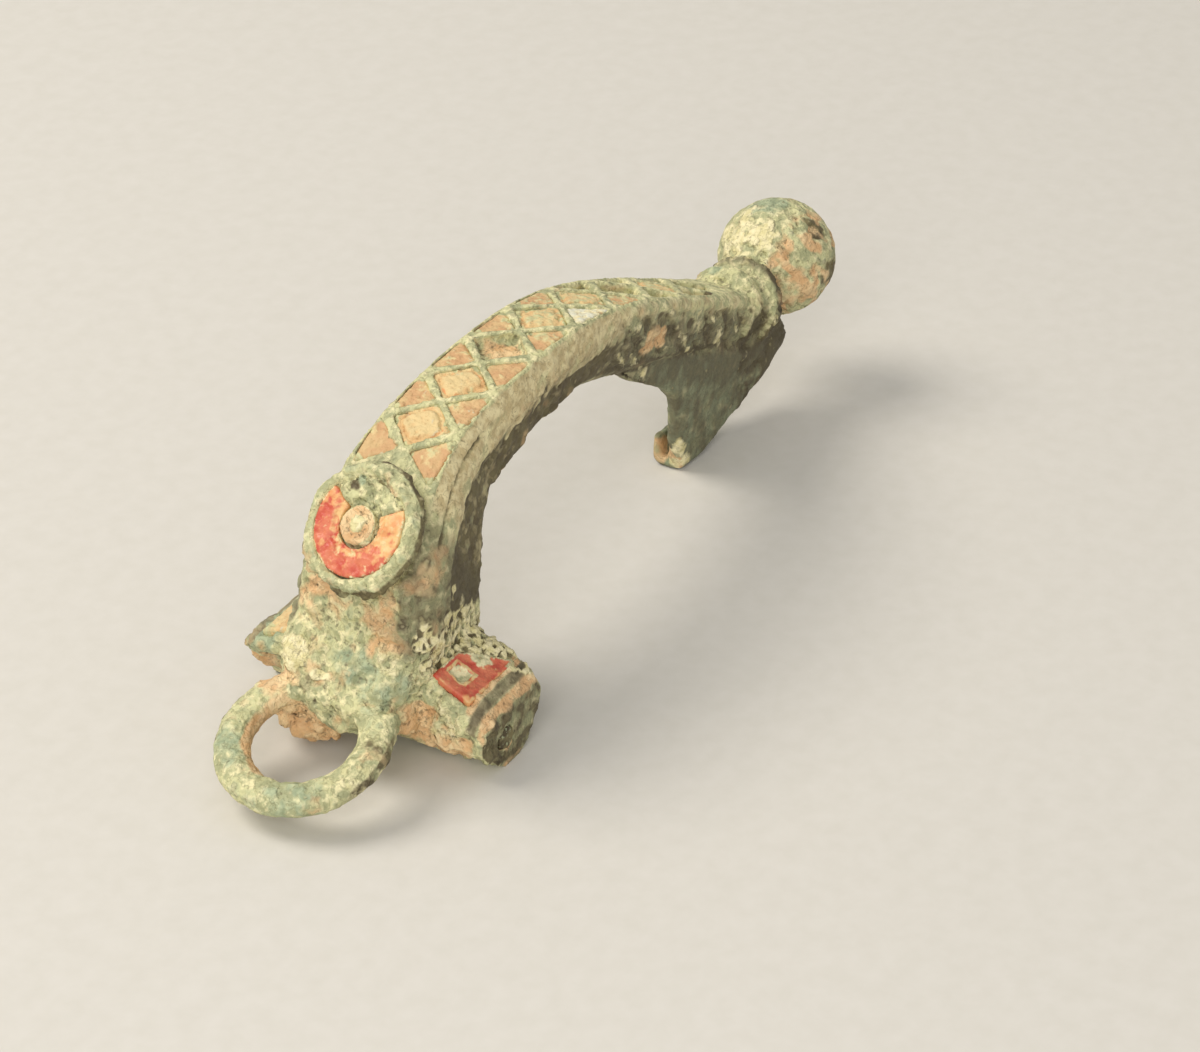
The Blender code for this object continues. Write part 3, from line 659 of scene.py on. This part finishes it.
def loop_and_lump(cast):
    """Soil and painted shade inside the loop, and the lump of soil and corrosion under the head."""
    across = (cast.x - LOOP[0]) * cos(LOOP_TILT) + (cast.z - LOOP[1]) * sin(LOOP_TILT)
    # The loop's inner wall gets soil and some painted shade
    inner = cast.loop * step(3.8, 3.4, np.hypot(across, cast.y)) * step(-0.5, 1.5, cast.y)
    from_lump = np.linalg.norm((cast.at - np.array(SOIL_LUMP)) * np.array(SOIL_LUMP_SQUEEZE), axis=1)
    lump = step(3.2, 2.4, from_lump)
    return {
        "lift": lump * (0.14 * cast.middle - 0.2 * step(0.1, 0.4, cast.small)),
        "soil": 1.1 * lump + 0.8 * inner,
        "shade": 0.5 * inner,
    }


def bow_sides(cast):
    """A bevel below the arris, a groove near the stud, a dark, eaten band below them, and painted
    shade on the faces turned down.
    """
    side, foot, neck, along, depth = cast.side, cast.foot, cast.neck, cast.along, cast.depth
    bevel = side * step(1.5, 0.5, depth) * (1 - foot)
    groove = side * step(0.26, 0.06, np.abs(depth - 1.5 + 0.035 * (along - 13)))
    groove *= step(11, 13, along) * step(24, 19, along)
    lower = step(2.9, 3.6, depth + 0.9 * cast.middle + 0.04 * (along - 20))
    swelling = 0.12 * step(1.4, 2.4, depth) * (1 - lower) + 0.07 * cast.middle
    eaten = 0.1 * lower * step(-0.2, 0.3, cast.small)
    # Faces turned down are darkened with painted shade, and carry a little soil
    under = step(0.0, -0.5, cast.up) * step(1.0, 3.0, cast.x) * (1 - cast.knob) * (1 - cast.plate)
    return {
        "lift": side * (swelling - eaten) - 0.22 * groove - 0.12 * bevel,
        "soil": 0.15 * under,
        "dark": 0.5 * neck + 0.8 * side * lower * (1 - foot) + 0.75 * groove + 0.6 * under,
        "tan": side * (1 - neck) * (0.75 + 0.3 * step(1.4, 0.6, depth)) * (1 - 0.5 * foot),
        "shade": 0.6 * neck + 0.3 * side * lower + 0.5 * under,
        "calm": side * (1 - foot),
    }


def back_edge(cast):
    """Ragged flakes along the lower edges of the bow."""
    flakes = step(0.05, -0.35, cast.up) * step(0.25, 0.6, cast.wall)
    flakes *= step(6.0, 9.0, cast.along) * step(36, 30, cast.along)
    flakes *= (1 - cast.plate) * (1 - cast.knob) * (1 - cast.wing)
    flakes *= step(-0.1, 0.25, cast.broad + 0.3 * cast.middle)
    return {
        "lift": 0.22 * flakes,
        "soil": 0.5 * flakes * step(0.0, 0.3, cast.middle),
        "tan": 0.9 * flakes,
    }


def foot_cuts(cast):
    """Slanting cuts in the foot's sides, dark in their depth and pale between."""
    foot, depth = cast.foot, cast.depth
    strokes = lumps(cast.slanted, 1.0, 7, 2)
    cuts = step(0.05, 0.3, strokes)
    below = foot * step(0.7, 1.1, depth)
    return {
        "lift": foot * (0.12 * step(1.2, 0.7, depth) - 0.15 * cuts * step(0.9, 1.3, depth)),
        "bloom": 0.6 * below * step(0.1, -0.2, strokes),
        "dark": below * (0.15 + 0.38 * cuts),
        "strokes": 0.55 * foot * step(0.6, 1.0, depth) * step(-0.12, -0.35, strokes),
        "shade": 0.4 * foot * step(0.7, 1.2, depth),
    }


def catch_plate(cast):
    """Upright streaks on the smooth catch plate, darker all over, with painted shade just under the
    bow.
    """
    plate = cast.plate
    streaks = lumps(cast.at * np.array([1.0, 0.6, 0.4]), 0.9, 9)
    return {
        "lift": 0.07 * plate * streaks,
        "bloom": 0.75 * plate * (1 - 0.4 * streaks),
        "dark": 0.2 * plate * (1 + streaks),
        # Painted shade deepens the plate just under the bow
        "shade": plate * (0.8 + 0.35 * streaks + 0.3 * step(7.0, 5.0, cast.depth)),
        "calm": 0.8 * plate,
    }


def knob_and_collar(cast):
    """Pits in the knob, the loop and the collar, soil over the knob's right half, and painted shade on
    the collar.
    """
    knob, y = cast.knob, cast.y
    collar = step(40.2, 41.2, cast.x) * (1 - knob)
    # Painted shade darkens the groove beside the knob and the collar's faces that are not turned up
    gap_shade = step(43.6, 44.2, cast.x) * (1 - knob)
    pits = step(0.22, 0.45, lumps(cast.at, 0.8, 8, 2))
    rings = step(0.1, 0.4, lumps(cast.at * np.array([0.6, 1, 1]), 0.7, 10, 2))
    patches = step(-0.15, 0.3, lumps(cast.slanted * 0.9, 1.1, 12, 2))
    return {
        "lift": -pits * (0.2 * knob * step(0.5, -1.5, y) + 0.05 * cast.loop) - 0.16 * collar * rings,
        "soil": 0.85 * knob * step(1.6, -0.6, y + 0.5 * (cast.z - 9)) * patches,
        "dark": 0.6 * collar * (1 - step(-0.2, 0.4, cast.up)) + 0.6 * gap_shade,
        "pale": 0.2 * knob * step(-1.5, 1.5, y),
        "shade": 0.7 * gap_shade,
    }


def lacy_crust(cast):
    """Thin pale flakes that wander round dark holes."""
    flake = step(0.34, 0.2, np.abs(lumps(cast.at, 0.72, 4, 2)))
    crusted = np.clip(marked(cast.at, LACE_MARKS, cast.middle), 0, 1)
    crusted *= step(0.0, 0.15, cast.up + 0.4 * cast.wall)
    return {
        "lift": crusted * (0.17 * flake - 0.05),
        "dark": 0.8 * crusted * (1 - flake),
        "tan": 0.5 * crusted * (1 - flake),
        "pale": 1.2 * crusted * flake,
    }


def stud_face(cast):
    """Crust in the broken part of the stud's recess, a boss worn to a low dome, and a lumpy rim with
    painted shade at the foot of its outer side.
    """
    stud, radius, angle, middle = cast.stud, cast.radius, cast.angle, cast.middle
    recess = stud * step(BOSS - 0.05, BOSS + 0.2, radius) * step(RECESS + 0.1, RECESS - 0.15, radius)
    filled = recess * step(STUD_GAP[1] + 2, STUD_GAP[1] - 6, away_from(angle, STUD_GAP[0]))
    dome = stud * step(0.75, 0.45, radius)
    trench = stud * step(1.15, 1.4, radius) * step(1.75, 1.5, radius) * (1 - filled)
    rim = stud * step(RECESS, RECESS + 0.25, radius)
    lift = filled * (0.45 + 0.22 * middle + 0.1 * cast.small) + 0.42 * dome - 0.2 * trench
    lift += 0.1 * rim * middle - 0.12 * stud * step(0.5, 0.2, cast.height)
    stain = step(1.3, 1.5, radius) * step(1.9, 1.7, radius) * step(80, 50, away_from(angle, 225))
    # The foot of the rim's outer side is darkened with painted shade
    rim_foot_shade = stud * step(1.05, 0.75, cast.height) * step(3.5, 3.8, radius)
    return {
        "lift": lift,
        "soil": 1.2 * stud * step(1.25, 1.1, radius) * step(0.5, 0.65, radius),
        "bloom": 0.3 * rim,
        "dark": 0.9 * rim_foot_shade + 0.35 * filled * step(0.0, 0.3, cast.small),
        "tan": 0.6 * stud * stain,
        "pale": 1.3 * dome,
    }


def wing_faces(cast):
    """Soil along the wings' arrises and cell lines, a grey band outside them, and ends darkened with
    mottled painted shade and a little soil low down.
    """
    out = np.abs(cast.y)
    top = cast.wing * step(0.2, 0.5, cast.up)
    arris = top * step(0.36, 0.14, np.abs(out - WING_ARRIS)) * (cast.y < 0)
    cell_line = top * step(0.28, 0.1, np.abs(-cast.y - CELL_END)) * step(3.0, 2.6, np.abs(cast.x))
    band = cast.wing * step(0.2, 0.3, cast.up) * step(7.7, 7.85, out) * step(8.5, 8.3, out)
    # The wings' ends are darkened with mottled painted shade
    end = cast.wing * step(0.7, 0.9, cast.wall)
    return {
        "soil": arris + 1.2 * cell_line + 0.5 * end * step(0.7, 0.2, cast.z),
        "dark": 0.35 * band + end * (0.55 + 0.4 * step(-0.1, 0.2, cast.middle)),
        "tan": 0.9 * band,
        "shade": 0.4 * end + 0.85 * band,
        "calm": 0.7 * band,
    }


CASTING_FORMS = (
    crust,
    loop_and_lump,
    bow_sides,
    back_edge,
    foot_cuts,
    catch_plate,
    knob_and_collar,
    lacy_crust,
    stud_face,
    wing_faces,
)


def work_casting(mesh):
    """Give the casting its crust, pits and grooves, and map its colours."""
    cast = survey(mesh)
    fields = {"lift": 0.0, "tan": 0.0, "shade": 0.0, "calm": 0.0}
    for name, marks in MARKS.items():
        fields[name] = marked(cast.at, marks, cast.small if name == "pale" else cast.middle)
    for work in CASTING_FORMS:
        for name, values in work(cast).items():
            fields[name] = fields.get(name, 0.0) + values

    # Plain faces lose the steps of the net, and the underside that it rests on stays flat
    plain = np.clip(cast.side + cast.plate + cast.knob, 0, 1)[:, None]
    points = cast.points + plain * (smoothed(mesh, cast.points, 4) - cast.points)
    lift = fields.pop("lift") * (0.1 + 0.9 * step(0.2, 0.6, cast.z))
    moved = raise_by(mesh, points, cast.normals, lift)
    bulge = np.einsum("ij,ij->i", moved - smoothed(mesh, moved, 5), normals_of(mesh)) / MM
    fields["ridge"] = bulge / RIDGE_HEIGHT * (1 - 0.6 * fields["calm"])

    # Soil hides the pale strokes and the shade that it lies on
    soiled = np.clip(fields["soil"], 0, 1)
    fields["pale"] += fields.pop("strokes") * (1 - soiled)
    fields["shade"] *= 1 - 0.8 * soiled
    store(mesh, **fields)


def flat_frame(points):
    """Middle of a slab, and its long, cross and outward directions."""
    middle = points.mean(0)
    axes = np.linalg.svd(points - middle, full_matrices=False)[2]
    return middle, axes[0], axes[1], axes[2] * np.sign(axes[2][2])


def work_bow_fill(mesh, node, seed):
    """Turn a slab of enamel into a worn fill with a low pad in its middle and a line round it."""
    points, normals = points_of(mesh), normals_of(mesh)
    at = from_wings(points)
    middle, long, cross, out = flat_frame(points)
    u, v = (points - middle) @ long, (points - middle) @ cross
    u, v = u / np.abs(u).max(), v / np.abs(v).max()
    top = step(0.5, 0.9, normals @ out)
    coarse, fine = lumps(at, 0.9, seed), lumps(at, 0.4, seed + 20, 2)
    lozenge = "lozenge" in node
    if lozenge:
        spread = 0.6 * (np.abs(u) + np.abs(v)) + 0.5 * np.hypot(u, v) + 0.12 * coarse
    else:
        spread = 1.2 * np.hypot(u, v) + 0.12 * coarse
    pad = step(0.88, 0.62, spread) * lozenge
    line = step(0.09, 0.03, np.abs(spread - 0.86)) * lozenge
    face = 0.1 + 0.08 * pad - 0.08 * line + 0.07 * coarse + 0.06 * fine
    face -= 0.12 * step(0.3, 0.55, coarse) * step(0.5, 0.8, spread)
    raise_by(mesh, points, normals, top * face + (1 - top) * BOW_FILL_GROWS)
    far = step(12, 19, at[:, 0])
    store(
        mesh,
        cream=0.75 * pad if lozenge else 0.7 * step(0.0, 0.3, coarse + 0.3 * u),
        line=0.55 * line,
        edge=0.8 * step(0.92, 1.08, spread) + 0.35 * step(0.2, 0.5, coarse) + 0.4 * far,
        white=np.full(len(points), float(node == WHITENED)),
    )


def work_stud_ring(mesh):
    """The ring of red enamel: red outside, paler along its inner edge, yellowed at its end."""
    points, normals = points_of(mesh), normals_of(mesh)
    at = from_wings(points)
    radius, angle, _ = on_stud(at)
    top = step(0.5, 0.9, normals @ STUD_OUT)
    coarse, fine = lumps(at, 0.8, 31), lumps(at, 0.4, 32, 2)
    worn = step(2.1, 1.7, radius + 0.2 * coarse)
    face = 0.04 + 0.1 * coarse + 0.05 * fine - 0.15 * worn
    raise_by(mesh, points, normals, top * face + (1 - top) * RED_FILL_GROWS)
    left_end = step(185, 160, angle) * (angle > 90)
    tail = step(42, 30, away_from(angle, 12))
    store(
        mesh,
        decay=0.55 * worn + 0.8 * tail + 0.45 * step(0.0, 0.4, coarse) + 0.4 * left_end,
        cream=0.75 * worn * step(0.0, -0.3, coarse) + 0.7 * tail * step(0.0, 0.3, fine),
        crust=0.75 * step(2.95, 3.15, radius + 0.1 * coarse),
    )


def work_wing_enamel(mesh):
    """Red enamel round a squarish pale pit, with flaking crust over its upper edge."""
    points, normals = points_of(mesh), normals_of(mesh)
    at = from_wings(points)
    top = step(0.5, 0.9, normals @ flat_frame(points)[3])
    coarse, fine = lumps(at, 0.7, 41), lumps(at, 0.35, 42, 2)
    x, y = at[:, 0], at[:, 1]
    pit = np.maximum(np.abs(x - WING_PIT[0]), np.abs(y - WING_PIT[1])) + 0.1 * coarse
    inside = step(0.58, 0.48, pit)
    outline = step(0.14, 0.06, np.abs(pit - 0.64))
    dip = step(0.75, 0.45, np.hypot(x - CRUST_DIP[0], y - CRUST_DIP[1]) + 0.15 * coarse)
    brim = step(0.22, 0.08, distance_inside(mesh))
    upper = brim * step(-0.2, 0.3, 0.75 * x + (y + 6.4) + 0.3 * coarse)
    outer = brim * (1 - upper) * step(-6.9, -7.2, y)
    face = 0.05 + 0.05 * coarse + 0.04 * fine + 0.12 * (dip + upper) - 0.18 * inside
    raise_by(mesh, points, normals, top * face + (1 - top) * RED_FILL_GROWS)
    store(
        mesh,
        decay=0.3 * step(0.1, 0.5, coarse) + 0.8 * outer,
        cream=0.95 * outline * (1 - inside) + 0.3 * outer,
        crust=np.clip(1.3 * inside + dip + upper, 0, 1.3),
    )


def distance_inside(mesh):
    """How far each vertex of a slab is inside its outline, in millimetres."""
    points = points_of(mesh)
    middle, long, cross, _ = flat_frame(points)
    flat = np.stack(((points - middle) @ long, (points - middle) @ cross), 1) / MM
    turns = np.radians(np.arange(0, 360, 5))
    ways = np.stack((np.cos(turns), np.sin(turns)), 1)
    reach = flat @ ways.T
    return (reach.max(0) - reach).min(1)


def colour_setting(code, name, description):
    """A colour that a user may change."""
    return FloatVectorProperty(
        name=name,
        description=description,
        default=linear(code),
        subtype="COLOR",
        min=0,
        max=1,
        size=3,
    )


class BROOCH_PG_look(bpy.types.PropertyGroup):
    """Colours of the patina and the enamel, and how fine their relief is."""

    patina_deep: colour_setting("#A8AA80", "Patina, deep", "Grey-green between the crusts")
    patina: colour_setting("#CCCA98", "Patina", "Sage-green crust")
    patina_pale: colour_setting("#E8E0B0", "Patina, pale", "Pale yellow-green grains")
    bloom_deep: colour_setting("#94A07E", "Bloom, deep", "Blue-green bloom")
    bloom: colour_setting("#B2BC98", "Bloom", "Lighter blue-green bloom")
    side_deep: colour_setting("#C6B486", "Side, deep", "Skin on the bow's sides")
    side: colour_setting("#E4D6A8", "Side", "Lighter skin on the bow's sides")
    # The two dark tones and the shade colour also serve as painted shade: on faces turned down, on the
    # wings' ends, at the foot of the stud's rim, round the knob, inside the loop and under the bow
    dark_deep: colour_setting("#61563C", "Dark, deep", "Dark brown skin")
    dark: colour_setting("#7C734E", "Dark", "Dark green-brown skin")
    shade: colour_setting("#57503C", "Shade", "Smooth brown-grey skin on the catch plate and the neck")
    soil_deep: colour_setting("#DCB280", "Soil, deep", "Orange soil")
    soil: colour_setting("#EACC9C", "Soil", "Sandy soil")
    crust_deep: colour_setting("#DAD09A", "Crust, deep", "Yellow crust")
    crust: colour_setting("#ECE2B6", "Crust", "Pale crust")
    grime: colour_setting("#4E442C", "Grime", "Seams and pin-holes")
    red_deep: colour_setting("#C65440", "Red, deep", "Sound red enamel")
    red: colour_setting("#D57858", "Red", "Red enamel")
    decay_deep: colour_setting("#DE9C66", "Decay, deep", "Orange decay of the red")
    decay: colour_setting("#E6BC80", "Decay", "Yellow decay of the red")
    cream: colour_setting("#DDC590", "Cream", "Cream middle of a fill")
    flesh_deep: colour_setting("#CCA274", "Flesh, deep", "Side cells")
    flesh: colour_setting("#D2B280", "Flesh", "Side cells, lighter")
    fill_deep: colour_setting("#D8B27C", "Fill, deep", "Lozenge cells")
    fill: colour_setting("#DFC690", "Fill", "Lozenge cells, lighter")
    ochre: colour_setting("#AC8350", "Ochre", "Lines and pits in the fills")
    white: colour_setting("#DCDBC6", "White", "One whitened fill")
    board: colour_setting("#D6D3CC", "Board", "Floor")
    board_deep: colour_setting("#D2CFC7", "Board, deep", "Floor")
    casting_net: FloatProperty(
        name="Casting net", description="Face size on the casting", default=0.185 * MM, unit="LENGTH"
    )
    enamel_net: FloatProperty(
        name="Enamel net", description="Face size on the enamel", default=0.08 * MM, unit="LENGTH"
    )


class BROOCH_PG_stage(bpy.types.PropertyGroup):
    """Camera and light."""

    lens: FloatProperty(
        name="Lens", description="Focal length in millimetres", default=112.47, unit="CAMERA"
    )
    key: FloatProperty(
        name="Key light", description="Soft light from the left", default=1.75, unit="POWER"
    )
    fill: FloatProperty(
        name="Fill light", description="Light from the front", default=1.3, unit="POWER"
    )
    room: FloatProperty(name="Room light", description="Even light all round", default=0.52)


class BROOCH_OT_casting(bpy.types.Operator):
    """Make the casting with its patina"""

    bl_idname = "brooch.casting"
    bl_label = "Casting"

    def execute(self, context):
        look = context.scene.brooch_look
        mesh = even_skin("brooch_casting", "brooch_body", look.casting_net)
        work_casting(mesh)
        finish = patinated_bronze(look)
        finish_piece("brooch_casting", mesh, finish, "brooch_body")
        return {"FINISHED"}


class BROOCH_OT_decayed_enamel(bpy.types.Operator):
    """Make the decayed enamel in the cells of the bow and the left wing"""

    bl_idname = "brooch.decayed_enamel"
    bl_label = "Decayed enamel"

    def execute(self, context):
        look = context.scene.brooch_look
        cream = decayed_enamel(look, "decayed cream enamel", look.fill_deep, look.fill)
        flesh = decayed_enamel(look, "decayed flesh enamel", look.flesh_deep, look.flesh)
        starts = ("enamel_lozenge", "enamel_triangle", "enamel_wing_left")
        for seed, node in enumerate(sorted(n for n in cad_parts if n.startswith(starts))):
            mesh = even_skin(f"{node}_worn", node, look.enamel_net)
            work_bow_fill(mesh, node, seed)
            beside = "triangle" in node
            finish_piece(f"{node}_worn", mesh, flesh if beside else cream, node)
        return {"FINISHED"}


class BROOCH_OT_red_enamel(bpy.types.Operator):
    """Make the red enamel on the stud and on the right wing"""

    bl_idname = "brooch.red_enamel"
    bl_label = "Red enamel"

    def execute(self, context):
        look = context.scene.brooch_look
        finish = red_enamel(look)
        works = {"enamel_stud_ring": work_stud_ring, "enamel_wing_right": work_wing_enamel}
        for node, work in works.items():
            mesh = even_skin(f"{node}_worn", node, look.enamel_net)
            work(mesh)
            finish_piece(f"{node}_worn", mesh, finish, node)
        return {"FINISHED"}


class BROOCH_OT_hinge_bar(bpy.types.Operator):
    """Make the corroded hinge bar"""

    bl_idname = "brooch.hinge_bar"
    bl_label = "Hinge bar"

    def execute(self, context):
        look = context.scene.brooch_look
        mesh = even_skin("hinge_bar_corroded", "hinge_bar", look.enamel_net)
        points = points_of(mesh)
        rough = 0.03 + 0.06 * lumps(from_wings(points), 0.6, 51)
        raise_by(mesh, points, normals_of(mesh), rough)
        finish_piece("hinge_bar_corroded", mesh, corroded_bar(look), "hinge_bar")
        return {"FINISHED"}


class BROOCH_OT_stage(bpy.types.Operator):
    """Make the floor, the lights and the camera"""

    bl_idname = "brooch.stage"
    bl_label = "Stage"

    def execute(self, context):
        scene = context.scene
        stage = scene.brooch_stage
        scene.view_settings.view_transform = "Standard"
        bm = bmesh.new()
        bmesh.ops.create_grid(bm, x_segments=1, y_segments=1, size=2.0)
        mesh = bpy.data.meshes.new("floor")
        bm.to_mesh(mesh)
        bm.free()
        mesh.materials.append(matt_board(scene.brooch_look))
        floor = bpy.data.objects.new("floor", mesh)
        scene.collection.objects.link(floor)

        aim = Vector((0.0, 0.0, 0.008))
        lamps = (
            ("key", (-0.10, 0.32, 0.42), 0.30, stage.key, "#FFF8EE"),
            ("fill", (-0.42, -0.16, 0.28), 0.40, stage.fill, "#FFFCF8"),
        )
        for name, place, size, power, tint in lamps:
            data = bpy.data.lights.new(name, "AREA")
            data.shape = "DISK"
            data.size = size
            data.energy = power
            data.color = linear(tint)
            lamp = bpy.data.objects.new(name, data)
            scene.collection.objects.link(lamp)
            lamp.location = place
            lamp.rotation_euler = (aim - lamp.location).to_track_quat("-Z", "Y").to_euler()

        scene.world = bpy.data.worlds.new("room")
        scene.world.use_nodes = True
        room = scene.world.node_tree.nodes["Background"]
        room.inputs["Color"].default_value = (*linear("#F8F6F2"), 1.0)
        room.inputs["Strength"].default_value = stage.room

        data = bpy.data.cameras.new("camera")
        data.lens = stage.lens
        data.sensor_width = SENSOR_WIDTH
        data.clip_start = 0.005
        camera = bpy.data.objects.new("camera", data)
        scene.collection.objects.link(camera)
        right, up = Vector(CAMERA_RIGHT), Vector(CAMERA_UP)
        place = Matrix((right, up, right.cross(up))).transposed().to_4x4()
        place.translation = CAMERA_PLACE
        camera.matrix_world = place
        scene.camera = camera
        return {"FINISHED"}


class BROOCH_PT_panel(bpy.types.Panel):
    """The brooch's pieces and settings"""

    bl_idname = "BROOCH_PT_panel"
    bl_label = "Brooch"
    bl_space_type = "VIEW_3D"
    bl_region_type = "UI"
    bl_category = "Brooch"

    def draw(self, context):
        for operator in OPERATORS:
            self.layout.operator(operator.bl_idname)
        for group in (context.scene.brooch_look, context.scene.brooch_stage):
            for name in group.__annotations__:
                self.layout.prop(group, name)


OPERATORS = (
    BROOCH_OT_casting,
    BROOCH_OT_decayed_enamel,
    BROOCH_OT_red_enamel,
    BROOCH_OT_hinge_bar,
    BROOCH_OT_stage,
)
CLASSES = (BROOCH_PG_look, BROOCH_PG_stage, *OPERATORS, BROOCH_PT_panel)


def register():
    for made in CLASSES:
        bpy.utils.register_class(made)
    bpy.types.Scene.brooch_look = PointerProperty(type=BROOCH_PG_look)
    bpy.types.Scene.brooch_stage = PointerProperty(type=BROOCH_PG_stage)


def unregister():
    del bpy.types.Scene.brooch_stage
    del bpy.types.Scene.brooch_look
    for made in reversed(CLASSES):
        bpy.utils.unregister_class(made)


def main():
    """Make every piece in order."""
    register()
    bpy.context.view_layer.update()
    bpy.ops.brooch.casting()
    bpy.ops.brooch.decayed_enamel()
    bpy.ops.brooch.red_enamel()
    bpy.ops.brooch.hinge_bar()
    bpy.ops.brooch.stage()


if __name__ == "__main__":
    main()
